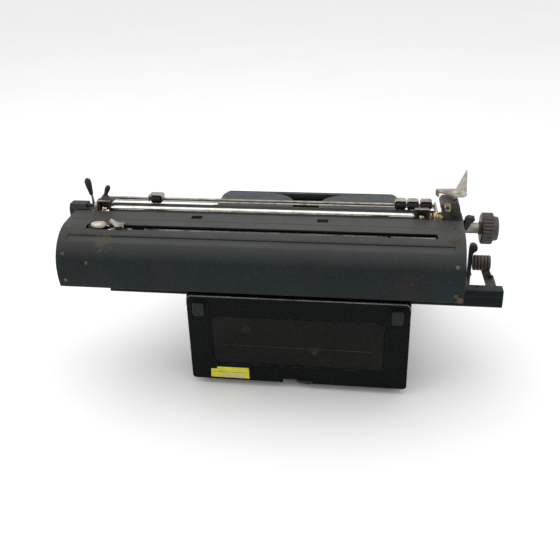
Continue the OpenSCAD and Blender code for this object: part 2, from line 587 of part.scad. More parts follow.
// Four screws along each end of the cover; a child is drawn with its axis square to the sheet and
// its origin on the sheet's outer face
screw_r = 1.5;
module at_cover_screws() for (s = [-1, 1]) translate([carriage_x + s*(cover_l/2 - 10), 0, 0]) {
    for (y = [-22, -4])
        translate([0, y, cover_top - (y - cover_front)*tan(cover_tilt)])
            rotate([-cover_tilt, 0, 0]) children();
    translate([0, bend_y, bend_z]) rotate([28 - 90, 0, 0]) translate([0, 0, cover_r]) children();
    translate([0, low_y, bend_z]) rotate([-8 - 90, 0, 0]) translate([0, 0, cover_low_r]) children();
}
module rear_cover() color([0.24, 0.27, 0.27]) place() difference() {
    sweep_x(carriage_x - cover_l/2, carriage_x + cover_l/2)
        polygon(concat(cover_line(0), backwards(cover_line(sheet))));
    block([carriage_x - cover_l/2 + slot_in, carriage_x + cover_l/2 - slot_in],
        [slot_y - slot_w/2, slot_y + slot_w/2], [cover_top - 40, cover_top + 10]);
    at_cover_screws() translate([0, 0, -2*sheet]) cylinder(r = screw_r + gap, h = 4*sheet);
}
// Ribs that carry the cover: the outer two close its ends
rib_t = 3;
rack_top = cover_top - 17;
rib_in = 90;                            // the inner two stand this far from the cover's ends
module rib(x, foot) sweep_x(carriage_x + x, carriage_x + x + rib_t)
    polygon(concat(cover_line(sheet), [[cover_back - 10, cover_low + 1]], foot));
module cover_end_ribs() color([0.05, 0.06, 0.06]) place() difference() {
    union() {
        for (x = [-cover_l/2 + 3, cover_l/2 - 3 - rib_t])
            rib(x, [[end_back + gap, frame_low + 1]]);
        for (x = [-cover_l/2 + rib_in, cover_l/2 - rib_in - rib_t])      // these reach the carriage frame
            rib(x, [[rail_y[0] + 6, frame_low + 1], [rail_y[0] + 6, frame_low + 9],
                [end_back + gap, frame_low + 9]]);
    }
    block([carriage_x - cover_l/2 + 6, carriage_x + cover_l/2 - 6],
        [slot_y - 9, slot_y + 9], [rack_top - 12, cover_top + 5]);
}
rack_step = 6;
module margin_rack() color([0.5, 0.49, 0.46]) place() difference() {
    n = floor((cover_l - 2*slot_in)/rack_step/2);
    block([carriage_x - cover_l/2 + 6, carriage_x + cover_l/2 - 6],
        [slot_y - 5, slot_y + 3], [rack_top - 10, rack_top]);
    for (i = [-n:n]) translate([carriage_x + i*rack_step, 0, 0])
        block([-1, 1], [slot_y + 1, slot_y + 4], [rack_top - 6, rack_top + 1]);
}
module cover_screws() color([0.5, 0.5, 0.48]) place() at_cover_screws() {
    translate([0, 0, 0.12]) cylinder(r = 2*screw_r, h = 0.9);
    translate([0, 0, -3]) cylinder(r = screw_r, h = 3.2);
}
pan_in = platen_r + 1.2;
module paper_pan() color([0.3, 0.3, 0.29]) place() difference() {
    sweep_x(platen_left + 2, platen_left + platen_l - 2) polygon(concat(
        arc(platen_y, platen_z, pan_in, 200, 345, 24),
        arc(platen_y, platen_z, pan_in + 1.2, 345, 200, 24)));
    for (i = [0:3], y = feed_y) let (x = platen_left + platen_l*(i + 0.5)/4)
        block([x - feed_l/2 - 3, x + feed_l/2 + 3], [y - feed_r - 1, y + feed_r + 1],
            [feed_z - feed_r - 2, feed_z + feed_r + 2]);
}
rest_x = [carriage_x - 196, carriage_x + 207];
bracket_w = 16;
module paper_rest_rod() color([0.7, 0.69, 0.64]) place() {
    rod_x(rest_x[0], rest_x[1], cover_front - 6, platen_z + 24, 2.6);
    for (x = [rest_x[0] - bracket_w, rest_x[1]]) {      // a U-shaped bracket at each end
        difference() {
            block([x, x + bracket_w], [cover_front - 11, cover_front - 1], [platen_z + 17, platen_z + 29]);
            block([x + wall, x + bracket_w - wall], [cover_front - 12, cover_front - 1 - wall],
                [platen_z + 17 + wall, platen_z + 30]);
        }
        block([x + 4, x + bracket_w - 4], [cover_front - 1, cover_front + 8],
            [platen_z + 17.2, platen_z + 19]);
    }
}
module platen() color([0.05, 0.05, 0.05]) place() difference() {
    rod_x(platen_left, platen_left + platen_l, platen_y, platen_z, platen_r);
    rod_x(platen_left - 1, platen_left + platen_l + 1, platen_y, platen_z, platen_r - 5);
}
knob_in = end_left - 24;
knob_t = 16;
cap_t = 6;
module platen_core() color([0.6, 0.58, 0.52]) place() {
    rod_x(platen_left, platen_left + platen_l, platen_y, platen_z, platen_r - 5);
    rod_x(knob_in - knob_t - cap_t, end_right - 2, platen_y, platen_z, shaft_r);
    rod_x(knob_in, end_left - 1, platen_y, platen_z, 7);
    sweep_x(end_inner_l + 1.5, platen_left - 1) translate([platen_y, platen_z]) {
        circle(15);
        for (i = [0:23]) rotate(i*15) translate([15, 0]) square([4, 1.8], center = true);
    }
}
module platen_knob() color([0.09, 0.07, 0.05]) place() difference() {
    sweep_x(knob_in - knob_t, knob_in - 0.02) translate([platen_y, platen_z]) difference() {
        circle(knob_r);
        for (i = [0:17]) rotate(i*20) translate([knob_r + 1, 0]) circle(2.2, $fn = 24);
    }
    rod_x(knob_in - 30, knob_in + 1, platen_y, platen_z, shaft_r);
}
module knob_cap() color([0.09, 0.07, 0.05]) place() difference() {
    rod_x(knob_in - knob_t - cap_t, knob_in - knob_t, platen_y, platen_z, knob_r - 5);
    rod_x(knob_in - 30, knob_in - 10, platen_y, platen_z, shaft_r);
}
module feed_rollers(y) place() {
    rod_x(end_inner_l - 5, end_inner_r + 5, y, feed_z, feed_pin_r);
    for (i = [0:3]) let (x = platen_left + platen_l*(i + 0.5)/4)
        rod_x(x - feed_l/2, x + feed_l/2, y, feed_z, feed_r);
}
module feed_rollers_front() color([0.08, 0.08, 0.08]) feed_rollers(feed_y[0]);
module feed_rollers_rear() color([0.08, 0.08, 0.08]) feed_rollers(feed_y[1]);

// The bail swings on two pins above the platen and carries the rollers on a rod
bail_left = end_left + 33;
bail_right = end_inner_r - 14;
bail_rod_r = 2;
bail_pin_z = bail_pin[1];
arm_low = platen_z + platen_r + 1;      // the arms pass over the platen
module bail_arm() difference() {
    union() {
        polygon([
            [bail_pin[0], arm_low], [bail_pin[0], bail_pin_z + 5],
            [bail_y + 3, bail_z + 5], [bail_y - 6, bail_z + 3], [bail_y - 8, bail_z - 11],
            [bail_y - 4.5, bail_z - 11], [bail_y + 1, arm_low]]);
        translate(bail_pin) circle(5);
    }
    translate(bail_pin) circle(bail_pin_r + run);
}
module bail_bar() color([0.55, 0.53, 0.47]) place() {
    sweep_x(bail_left, bail_left + 3) bail_arm();
    sweep_x(bail_right, bail_right + 3) bail_arm();
    rod_x(bail_left + 1, bail_right + 2, bail_y, bail_z, bail_rod_r);
    strip_z = [bail_z - 9.5, bail_z - 5];
    block([bail_left + 1, bail_right + 2], [bail_y - 12, bail_y - 10.8], strip_z);
    for (x = [bail_left + 1, bail_right]) block([x, x + 2], [bail_y - 12, bail_y - 5], strip_z);
    // the thumb knob that lifts the bail
    block([bail_right - 20, bail_right + 3], [-58, -48], [bail_pin_z + 3, bail_pin_z + 5.5]);
    translate([bail_right - 12, -53, bail_pin_z + 5.5]) cylinder(r1 = 7.5, r2 = 3.5, h = 6);
    translate([bail_right - 12, -53, bail_pin_z + 11.5]) cylinder(r = 3.8, h = 13);
}
bail_roller_x = [for (x = [154, -178, -194, -211]) carriage_x + x];
bail_roller_l = 13.5;
module bail_rollers() color([0.05, 0.05, 0.05]) place() for (x = bail_roller_x) difference() {
    rod_x(x - bail_roller_l/2, x + bail_roller_l/2, bail_y, bail_z, bail_roller_r);
    rod_x(x - 20, x + 20, bail_y, bail_z, bail_rod_r + run);
}

// ---------------------------------------------------------------- levers and stops on the carriage
stop_w = 21;
margin_x = [carriage_x + 168, carriage_x + 195];    // left edges of the two thumb pieces
module margin_stop(x, h, legs) {
    difference() {
        block([x + 2, x + stop_w - 2], [slot_y - 7.5, slot_y + 6], [rack_top - 4, rack_top + 4]);
        block([x, x + stop_w], [slot_y - 5 - run, slot_y + 3 + run], [rack_top - 11, rack_top + run]);
    }
    top = cover_top + h;
    if (legs) {
        for (e = [x + 4, x + stop_w - 7])
            block([e, e + 3], [slot_y - 1.5, slot_y + 1.5], [rack_top + 3, top - 2]);
        sweep_y(slot_y - 6, slot_y + 6) polygon([[x, top - 2.5], [x + stop_w, top - 2.5],
            [x + stop_w - 3, top + 1], [x + 14, top - 0.5], [x + 7, top - 0.5], [x + 3, top + 1]]);
    } else {
        block([x + 5, x + stop_w - 5], [slot_y - 2, slot_y + 2], [rack_top + 3, top - 3]);
        sweep_y(slot_y - 5.5, slot_y + 5.5) polygon([[x, top - 2], [x + 3, top - 4],
            [x + stop_w - 3, top - 4], [x + stop_w, top - 2], [x + stop_w - 4, top],
            [x + stop_w/2, top - 1.5], [x + 4, top]]);
    }
}
module margin_stop_left() color([0.7, 0.69, 0.66]) place() margin_stop(margin_x[0], 5, true);
module margin_stop_right() color([0.7, 0.69, 0.66]) place() margin_stop(margin_x[1], 1.5, false);

lever_pin = [end_left + 14, -50];
lever_low = horn_z + 27.5;
module return_lever() color([0.72, 0.71, 0.68]) place() {
    translate([lever_pin[0], lever_pin[1], horn_z + 15]) cylinder(r = 3, h = lever_low - horn_z - 13);
    translate([lever_pin[0], lever_pin[1], lever_low]) cylinder(r = 8, h = 3);
    translate([0, 0, lever_low + 3]) linear_extrude(4) polygon([
        [end_left + 37, -47], [end_left + 36, -44], [end_left + 6, -40], [end_left + 1, -44],
        [end_left, -64], [end_left + 8, -64], [end_left + 20, -56]]);
    translate([lever_pin[0], lever_pin[1], lever_low + 7]) cylinder(r = 5.5, h = 3.5);
    hull() {
        block([end_left, end_left + 3], [-66, -46], [lever_low + 2, lever_low + 14]);
        block([end_left - 7, end_left - 4], [-106, -102], [lever_low + 8, lever_low + 20]);
    }
}
module paper_release_lever() color([0.04, 0.04, 0.04]) place() difference() {
    x = end_inner_r - 6;
    union() {
        sweep_x(x, x + 4) translate(release_pin) polygon([[-5, -5], [5, -5], [3, 28], [-3, 28]]);
        hull() {
            rod_x(x - 0.5, x + 4.5, release_pin[0], release_pin[1] + 28, 3.5);
            rod_x(x - 0.5, x + 7, release_pin[0], release_pin[1] + 45, 5);
        }
    }
    rod_x(x - 2, x + 6, release_pin[0], release_pin[1], release_pin_r + run);
}
// Wedge-shaped lever beside the platen shaft that sets the line spacing
module line_space_lever() color([0.05, 0.05, 0.05]) place() difference() {
    sweep_x(end_left - 16, end_left - 5) union() {
        translate([platen_y, platen_z]) circle(10);
        polygon([[platen_y - 9, platen_z], [platen_y + 9, platen_z], [platen_y + 19, platen_z + 14],
            [platen_y + 9, platen_z + 18]]);
    }
    rod_x(end_left - 20, end_left, platen_y, platen_z, 7 + run);
}

base_frame();
rubber_feet();
left_side_panel();
right_side_panel();
rear_panel();
rear_bumpers();
front_apron();
front_hood();
ribbon_cover();
carriage_bed();
bed_rails();
roller_cage();
stop_bracket();
stop_buffer();
bed_lock_lever();
type_guide();
ribbon_cups();
ribbon_spool_left();
ribbon_spool_right();
ribbon_vibrator();
key_lever_shaft();
key_row_1();
key_row_2();
key_row_3();
key_row_4();
middle_key();
space_bar();
shift_keys();
shift_lock_key();
backspace_key();
tab_key();
segment();
typebars();
middle_typebar();
spring_drum();
escapement_wheel();
bell();
carriage_frame();
carriage_end_left();
carriage_end_right();
rear_cover();
cover_end_ribs();
cover_screws();
paper_pan();
margin_rack();
escapement_rack();
paper_rest_rod();
platen();
platen_core();
platen_knob();
knob_cap();
feed_rollers_front();
feed_rollers_rear();
bail_bar();
bail_rollers();
margin_stop_left();
margin_stop_right();
return_lever();
paper_release_lever();
line_space_lever();
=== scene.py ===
"""Looks of a wide-carriage office typewriter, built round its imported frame.

Places are in millimetres from the body's own datum: X 0 on the body's centre line, Y 0 on the rear
panel's outer face, Z 0 on the desk. X runs to the typist's right, Y to the back and Z up.
"""
import json
import math

import bmesh
import bpy
from mathutils import Matrix, Vector


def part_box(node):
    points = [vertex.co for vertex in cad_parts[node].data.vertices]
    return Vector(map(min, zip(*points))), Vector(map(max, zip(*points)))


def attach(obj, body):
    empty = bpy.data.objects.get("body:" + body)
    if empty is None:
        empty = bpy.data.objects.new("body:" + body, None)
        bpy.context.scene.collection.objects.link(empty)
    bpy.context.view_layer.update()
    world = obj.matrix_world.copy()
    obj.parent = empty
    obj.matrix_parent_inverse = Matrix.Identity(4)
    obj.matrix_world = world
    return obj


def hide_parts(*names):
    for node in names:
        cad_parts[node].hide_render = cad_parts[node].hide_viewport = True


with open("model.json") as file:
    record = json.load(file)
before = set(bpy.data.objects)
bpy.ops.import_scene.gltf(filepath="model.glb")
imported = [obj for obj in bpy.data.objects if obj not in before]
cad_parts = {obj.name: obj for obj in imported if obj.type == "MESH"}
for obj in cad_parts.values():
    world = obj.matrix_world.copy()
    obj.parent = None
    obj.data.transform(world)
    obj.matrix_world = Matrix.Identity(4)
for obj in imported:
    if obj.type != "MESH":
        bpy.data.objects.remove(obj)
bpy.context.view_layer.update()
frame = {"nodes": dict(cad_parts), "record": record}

MM = 0.001
BODY = "machine_body"
BOSS_PROUD = 1.0 * MM      # the rear panel's bosses stand this far off its outer face
panel_low, panel_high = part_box("rear_panel")
DATUM = Vector(((panel_low.x + panel_high.x) / 2, panel_high.y - BOSS_PROUD, 0))


class Span:
    """The box round a CAD node, in millimetres from the datum."""

    def __init__(self, node):
        low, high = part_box(node)
        self.x0, self.y0, self.z0 = (low - DATUM) / MM
        self.x1, self.y1, self.z1 = (high - DATUM) / MM
        self.x, self.y, self.z = ((low + high) / 2 - DATUM) / MM


# -------- outlines
def fillet(points, n=5, at=(0, 0)):
    """A closed outline of (u, v) or (u, v, radius) points from at, each corner rounded to its radius."""
    points = [(p[0] + at[0], p[1] + at[1], *p[2:]) for p in points]
    out = []
    for i, point in enumerate(points):
        here = Vector(point[:2])
        if len(point) < 3 or not point[2]:
            out.append(tuple(here))
            continue
        before = (Vector(points[i - 1][:2]) - here).normalized()
        after = (Vector(points[(i + 1) % len(points)][:2]) - here).normalized()
        half = before.angle(after) / 2
        centre = here + (before + after).normalized() * point[2] / math.sin(half)
        start = here + before * point[2] / math.tan(half) - centre
        end = here + after * point[2] / math.tan(half) - centre
        a0 = math.atan2(start.y, start.x)
        turn = (math.atan2(end.y, end.x) - a0 + math.pi) % (2 * math.pi) - math.pi
        out += [arc_point(centre, point[2], a0 + turn * k / n) for k in range(n + 1)]
    return out


def arc_point(centre, radius, angle):
    return centre[0] + radius * math.cos(angle), centre[1] + radius * math.sin(angle)


def arc(centre, radius, a0, a1, n=12):
    """Points along an arc, its angles in degrees."""
    return [arc_point(centre, radius, math.radians(a0 + (a1 - a0) * k / n)) for k in range(n + 1)]


def rounded(w, h, r, centre=(0, 0), n=5):
    """A rounded rectangle of width w and height h."""
    return fillet([(-w / 2, -h / 2, r), (w / 2, -h / 2, r), (w / 2, h / 2, r), (-w / 2, h / 2, r)], n,
        centre)


def graded(a, b, step, fine_spans=(), fine=0.7):
    """Places from a to b, a step apart, and closer together inside each fine span."""
    count = max(1, round((b - a) / step))
    places = [a + (b - a) * i / count for i in range(count + 1)]
    for low, high in fine_spans:
        places = [p for p in places if not low - fine < p < high + fine or p in (a, b)]
        count = max(2, round((high - low) / fine))
        places += [low + (high - low) * i / count for i in range(count + 1)]
    return sorted(places)


# -------- shapes
ALONG_X = (1, 0, 0)
ALONG_Y = (0, 1, 0)
PLANES = {
    "x": lambda u, v, w: (w, u, v),
    "y": lambda u, v, w: (u, w, v),
    "z": lambda u, v, w: (u, v, w),
}


class Shape:
    """Closed surfaces in millimetres, gathered until they become one piece."""

    def __init__(self):
        self.bm = bmesh.new()

    def skin(self, rings):
        """Joins each ring of points to the next and caps the first and the last."""
        rows = [[self.bm.verts.new(p) for p in ring] for ring in rings]
        n = len(rows[0])
        for a, b in zip(rows, rows[1:]):
            for i in range(n):
                j = (i + 1) % n
                self.bm.faces.new((a[i], a[j], b[j], b[i]))
        self.bm.faces.new(rows[0][::-1])
        self.bm.faces.new(rows[-1])
        return self

    def prism(self, outline, axis, a, b):
        """An outline drawn square to an axis, from a to b along it."""
        return self.skin([[PLANES[axis](u, v, w) for u, v in outline] for w in (a, b)])

    def block(self, x, y, z):
        return self.prism([(x[0], y[0]), (x[1], y[0]), (x[1], y[1]), (x[0], y[1])], "z", *z)

    def spin(self, profile, origin, axis=(0, 0, 1), n=40, ripple=None, squash=1.0):
        """Turns (distance along the axis, radius) round it; ripple(angle, distance) scales the radius."""
        turn = Vector(axis).to_track_quat("Z", "Y")
        rings = []
        for along, radius in profile:
            ring = []
            for i in range(n):
                a = 2 * math.pi * i / n
                r = max(radius, 0.02) * (ripple(a, along) if ripple else 1)
                point = Vector((r * math.cos(a), squash * r * math.sin(a), along))
                ring.append(Vector(origin) + turn @ point)
            rings.append(ring)
        return self.skin(rings)

    def tube(self, path, radius, n=14):
        """A round bar along a path; radius is a number or one number for each point."""
        path = [Vector(p) for p in path]
        radii = radius if isinstance(radius, (list, tuple)) else [radius] * len(path)
        rings = []
        for i, p in enumerate(path):
            turn = (path[min(i + 1, len(path) - 1)] - path[max(i - 1, 0)]).to_track_quat("Z", "Y")
            rings.append([p + turn @ Vector((*arc_point((0, 0), radii[i], 2 * math.pi * k / n), 0))
                for k in range(n)])
        return self.skin(rings)

    def cut(self, other):
        """Takes another shape out of this one."""
        objects = []
        for shape in (self, other):
            mesh = shape.mesh("work", 1.0, Vector())
            objects.append(bpy.data.objects.new("work", mesh))
            bpy.context.scene.collection.objects.link(objects[-1])
        modifier = objects[0].modifiers.new("cut", "BOOLEAN")
        modifier.object = objects[1]
        modifier.operation = "DIFFERENCE"
        modifier.solver = "EXACT"
        modifier.use_self = True
        solid = objects[0].evaluated_get(bpy.context.evaluated_depsgraph_get())
        self.bm = bmesh.new()
        self.bm.from_mesh(solid.data)
        for obj in objects:
            bpy.data.objects.remove(obj)
        return self

    def mesh(self, name, scale=MM, offset=None):
        bm = self.bm
        bmesh.ops.remove_doubles(bm, verts=bm.verts, dist=0.001)
        bmesh.ops.recalc_face_normals(bm, faces=bm.faces)
        start = DATUM if offset is None else offset
        for v in bm.verts:
            v.co = start + v.co * scale
        mesh = bpy.data.meshes.new(name)
        bm.to_mesh(mesh)
        bm.free()
        return mesh

    def piece(self, name, look, body, stands_for=(), bevel=0.0, segments=2, smooth=32):
        """The finished piece: its look, the body that carries it and the CAD nodes it stands for."""
        mesh = self.mesh(name)
        obj = bpy.data.objects.new(name, mesh)
        bpy.context.scene.collection.objects.link(obj)
        mesh.materials.append(look.material)
        soften(obj, bevel, segments, smooth)
        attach(obj, body)
        if stands_for:
            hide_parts(*stands_for)
        return obj


def soften(obj, bevel, segments, smooth):
    """Smooth shading with crisp edges, or with small rounds where a bevel is given."""
    for polygon in obj.data.polygons:
        polygon.use_smooth = True
    if bevel:
        round_edges(obj, bevel, segments, smooth)
    else:
        obj.data.set_sharp_from_angle(angle=math.radians(smooth))


def round_edges(obj, width, segments, angle):
    """Small rounds on the edges that turn by more than the angle."""
    modifier = obj.modifiers.new("rounds", "BEVEL")
    modifier.width = width * MM
    modifier.segments = segments
    modifier.limit_method = "ANGLE"
    modifier.angle_limit = math.radians(angle)
    modifier.harden_normals = True


# -------- looks
class Look:
    """A procedural material whose patterns follow the place on the part."""

    def __init__(self, name, slot, **sockets):
        self.slot = slot
        self.material = bpy.data.materials.new(name)
        self.material.use_nodes = True
        tree = self.material.node_tree
        self.nodes = tree.nodes
        self.links = tree.links
        self.bsdf = tree.nodes["Principled BSDF"]
        self.place = self.node("TexCoord").outputs["Object"]
        for socket, value in sockets.items():
            self.bsdf.inputs[socket.replace("_", " ")].default_value = value

    def node(self, kind, **inputs):
        node = self.nodes.new("ShaderNode" + kind)
        for name, value in inputs.items():
            self.feed(node.inputs[name], value)
        return node

    def feed(self, socket, value):
        if isinstance(value, bpy.types.NodeSocket):
            self.links.new(value, socket)
        else:
            socket.default_value = value

    def noise(self, size, detail=2.0, stretch=None, shift=0.0):
        """Soft noise whose features are about size millimetres, longer along each axis by stretch."""
        node = self.node("TexNoise", Scale=1 / (size * MM), Detail=detail, Roughness=0.55)
        place = self.place
        if stretch or shift:
            scale = [1 / s for s in (stretch or (1, 1, 1))]
            mapping = self.node("Mapping", Vector=place, Scale=scale, Location=(shift, shift, shift))
            place = mapping.outputs["Vector"]
        self.feed(node.inputs["Vector"], place)
        return node.outputs["Fac"]

    def flecks(self, size, amount, stretch=None, shift=0.0):
        """Scattered specks, or scratches when stretched: 1 inside a speck and 0 elsewhere."""
        return self.window(self.noise(size, 1.0, stretch, shift), 1 - amount, 1 - amount + 0.04)

    def window(self, value, low, high, out_low=0.0, out_high=1.0):
        node = self.node("MapRange")
        for socket, number in zip(range(5), (value, low, high, out_low, out_high)):
            self.feed(node.inputs[socket], number)
        return node.outputs[0]

    def math(self, operation, a, b=0.0):
        node = self.node("Math")
        node.operation = operation
        self.feed(node.inputs[0], a)
        self.feed(node.inputs[1], b)
        return node.outputs[0]

    def mix(self, factor, a, b):
        node = self.nodes.new("ShaderNodeMix")
        node.data_type = "RGBA"
        for socket, value in ((0, factor), (6, a), (7, b)):
            self.feed(node.inputs[socket], (*value, 1) if isinstance(value, tuple) else value)
        return node.outputs[2]

    def spot(self, centre, radius):
        """A ragged patch round a place given in millimetres from the datum."""
        at = DATUM + Vector(centre) * MM
        reach = self.node("VectorMath")
        reach.operation = "DISTANCE"
        self.feed(reach.inputs[0], self.place)
        reach.inputs[1].default_value = at
        near = self.window(reach.outputs["Value"], radius * MM, 0.2 * radius * MM)
        return self.window(self.math("MULTIPLY", near, self.noise(6.0, 4.0)), 0.32, 0.5)

    def edges(self, radius):
        """1 along the outer edges of the part, broken up where wear would be."""
        bevel = self.node("Bevel", Radius=radius * MM)
        bevel.samples = 4
        dot = self.node("VectorMath")
        dot.operation = "DOT_PRODUCT"
        self.feed(dot.inputs[0], bevel.outputs["Normal"])
        self.feed(dot.inputs[1], self.node("NewGeometry").outputs["Normal"])
        bend = self.window(self.math("SUBTRACT", 1.0, dot.outputs["Value"]), 0.02, 0.16)
        return self.math("MULTIPLY", bend, self.window(self.noise(7, 4.0), 0.45, 0.62))

    def colour(self, socket):
        self.feed(self.bsdf.inputs["Base Color"], socket)

    def rough(self, low, high, size=14.0, extra=None):
        value = self.window(self.noise(size, 4.0, shift=0.3), 0.3, 0.7, low, high)
        if extra is not None:
            value = self.math("ADD", value, self.math("MULTIPLY", extra, 0.25))
        self.feed(self.bsdf.inputs["Roughness"], value)

    def bump(self, height, depth, strength):
        node = self.node("Bump", Height=height, Strength=strength, Distance=depth * MM)
        self.links.new(node.outputs["Normal"], self.bsdf.inputs["Normal"])


def enamel(name, slot, dark, light, wear, spots=(), rust=0.0, specular=0.3, rough=(0.4, 0.55), worn=1.0,
        top_light_and_dust=None, bare=0.6):
    """Satin paint: cloudy tone, up-facing faces lightened as painted top light with settled dust, a few
    chips and scratches, bare along the edges.
    """
    look = Look(name, slot, Specular_IOR_Level=specular)
    cloud = look.window(look.noise(60, 4.0), 0.3, 0.7)
    tone = look.mix(cloud, dark, light)
    # Up-facing faces are mixed towards a lighter tone: painted top light, together with settled dust.
    if top_light_and_dust:
        facing = look.node("SeparateXYZ", Vector=look.node("NewGeometry").outputs["Normal"]).outputs["Z"]
        up = look.window(facing, 0.35, 1.0)
        patchy = look.window(look.noise(90, 3.0), 0.2, 0.6, 0.75, 1.0)
        tone = look.mix(look.math("MULTIPLY", up, patchy), tone, top_light_and_dust)
    grime = look.window(look.noise(110, 5.0, shift=0.7), 0.5, 0.72, 0.0, rust)
    tone = look.mix(grime, tone, (0.030, 0.023, 0.017))
    dust = look.window(look.noise(2.5, 6.0), 0.5, 0.8, 0.0, 0.1)
    tone = look.mix(dust, tone, (0.12, 0.125, 0.12))
    chips = look.flecks(6.5, 0.205)
    scratches = look.flecks(2.6, 0.235, stretch=(12, 1, 2.5), shift=0.4)
    marks = look.math("MAXIMUM", chips, look.math("MULTIPLY", scratches, 0.3))
    tone = look.mix(look.math("MULTIPLY", marks, worn * 0.5), tone, wear)
    for centre, radius, colour in spots:
        tone = look.mix(look.math("MULTIPLY", look.spot(centre, radius), 0.7), tone, colour)
    edge = look.math("MULTIPLY", look.edges(1.0), worn * bare)
    look.colour(look.mix(edge, tone, wear))
    look.rough(*rough, extra=dust)
    grain = look.math("ADD", look.noise(1.1, 3.0), look.math("MULTIPLY", chips, -0.8))
    look.bump(grain, 0.1, 0.3)
    return look


def metal(name, slot, bright, dull, rough, amount=0.5, brushed=(1, 1, 1)):
    """Bare or plated metal with brushing, tarnish and brown stains."""
    look = Look(name, slot, Metallic=1.0)
    tone = look.mix(look.window(look.noise(9, 4.0), 0.35, 0.65), bright, dull)
    stains = look.window(look.noise(16, 6.0, shift=0.9), 0.52, 0.7, 0.0, amount)
    look.colour(look.mix(stains, tone, (0.16, 0.11, 0.06)))
    look.rough(*rough, size=5.0, extra=stains)
    lines = look.noise(0.8, 3.0, stretch=brushed)
    look.bump(lines, 0.05, 0.4)
    return look


def moulded(name, slot, dark, light, rough=(0.25, 0.4), size=20.0, grain=0.9, depth=0.06, specular=0.5):
    """Rubber, bakelite or plastic: a faint marbling, a fine grain and hand wear."""
    look = Look(name, slot, Specular_IOR_Level=specular)
    tone = look.mix(look.window(look.noise(size, 5.0), 0.35, 0.68), dark, light)
    dust = look.window(look.noise(2.4, 5.0, shift=0.2), 0.55, 0.8, 0.0, 0.2)
    look.colour(look.mix(dust, tone, (0.07, 0.067, 0.06)))
    look.rough(*rough, extra=dust)
    look.bump(look.noise(grain, 2.0), depth, 0.5)
    return look


# The lighter tone for the cover's up-facing faces: painted top light, with settled dust.
LIT_DUSTY_TOP = (0.052, 0.052, 0.050)
BARE = (0.17, 0.155, 0.13)
BROWN = (0.036, 0.026, 0.018)

cover_span = Span("rear_cover")
COVER_PAINT = enamel(
    "cover_enamel", "body_paint", (0.0038, 0.0078, 0.0088), (0.0070, 0.0115, 0.0125), BARE, rust=0.35,
    specular=0.15, worn=0.8, top_light_and_dust=LIT_DUSTY_TOP, bare=0.12,
    spots=(
        ((cover_span.x1 - 40, 47, 210), 6, (0.11, 0.08, 0.055)),
        ((cover_span.x0 + 5, 46, 178), 12, (0.12, 0.075, 0.055)),
        ((cover_span.x0 + 66, 44, 192), 46, (0.016, 0.013, 0.009)),
        ((cover_span.x0 + 12, 18, 238), 22, BROWN),
        ((cover_span.x1 - 60, 33, 233), 30, (0.06, 0.05, 0.036)),
    ))
BODY_PAINT = enamel("body_enamel", "body_paint", (0.009, 0.013, 0.0138), (0.014, 0.019, 0.020), BARE,
    rust=0.15, specular=0.25, top_light_and_dust=(0.05, 0.054, 0.054))
LID_PAINT = enamel("lid_enamel", "body_paint", (0.016, 0.020, 0.021), (0.022, 0.027, 0.028), BARE,
    specular=0.2, worn=0.5, top_light_and_dust=(0.034, 0.040, 0.042))
# The body paint made several times darker for the bed: painted shade for the bed lying in the cover's
# shadow.
SHADED_BED_PAINT = enamel("shaded_bed_enamel", "body_paint", (0.0026, 0.0046, 0.005), (0.005, 0.0076, 0.008), BARE,
    specular=0.1, worn=0.5, top_light_and_dust=(0.022, 0.028, 0.029), bare=0.3)
PANEL_PAINT = enamel("panel_enamel", "panel_paint", (0.0010, 0.0019, 0.0020), (0.0022, 0.0038, 0.0040),
    BARE, specular=0.07, rough=(0.22, 0.34), worn=0.5)
# A painted highlight: bright paint for the tube along the rear panel's top edge, standing for the light
# that edge catches.
RIM_HIGHLIGHT_PAINT = enamel("rim_highlight_enamel", "panel_paint", (0.03, 0.033, 0.033), (0.2, 0.2, 0.19), (0.5, 0.49, 0.45),
    specular=0.3, worn=1.4)
LINE_PAINT = enamel("line_enamel", "panel_paint", (0.008, 0.0078, 0.007), (0.034, 0.032, 0.028),
    (0.08, 0.075, 0.065), specular=0.1)
FIELD_PAINT = enamel(
    "field_enamel", "panel_paint", (0.0042, 0.0048, 0.0044), (0.0085, 0.0078, 0.0064), (0.08, 0.065, 0.05),
    rust=0.25, specular=0.08, worn=0.5,
    spots=(((-24, -1, 66), 16, (0.03, 0.023, 0.016)), ((-24, -1, 62), 6, (0.1, 0.08, 0.055)),
           ((70, -1, 95), 18, (0.024, 0.017, 0.011))))
JAPAN = enamel("black_japan", "frame_paint", (0.004, 0.005, 0.0055), (0.0085, 0.0095, 0.0095), BARE,
    rust=0.15, specular=0.25, worn=0.7, top_light_and_dust=(0.016, 0.017, 0.017))
CASTING = enamel("casting_enamel", "end_casting", (0.022, 0.026, 0.023), (0.036, 0.041, 0.036), BARE,
    rust=0.5, top_light_and_dust=(0.06, 0.062, 0.056))
OLIVE = enamel("olive_bracket", "frame_paint", (0.028, 0.026, 0.019), (0.055, 0.05, 0.037), BARE, rust=0.6)
NICKEL = metal("stained_nickel", "nickel", (0.5, 0.47, 0.41), (0.26, 0.24, 0.2), rough=(0.24, 0.42),
    amount=0.7)
POLISHED = metal("polished_nickel", "nickel", (0.8, 0.77, 0.71), (0.6, 0.57, 0.5), rough=(0.12, 0.22),
    amount=0.2, brushed=(12, 1, 1))
SCREW = metal("dark_screw", "steel", (0.12, 0.115, 0.1), (0.05, 0.047, 0.042), rough=(0.35, 0.5))
STEEL = metal("dull_steel", "steel", (0.33, 0.31, 0.28), (0.19, 0.175, 0.155), rough=(0.3, 0.5))
BRASS = metal("old_brass", "brass", (0.62, 0.48, 0.27), (0.36, 0.27, 0.15), rough=(0.25, 0.45))
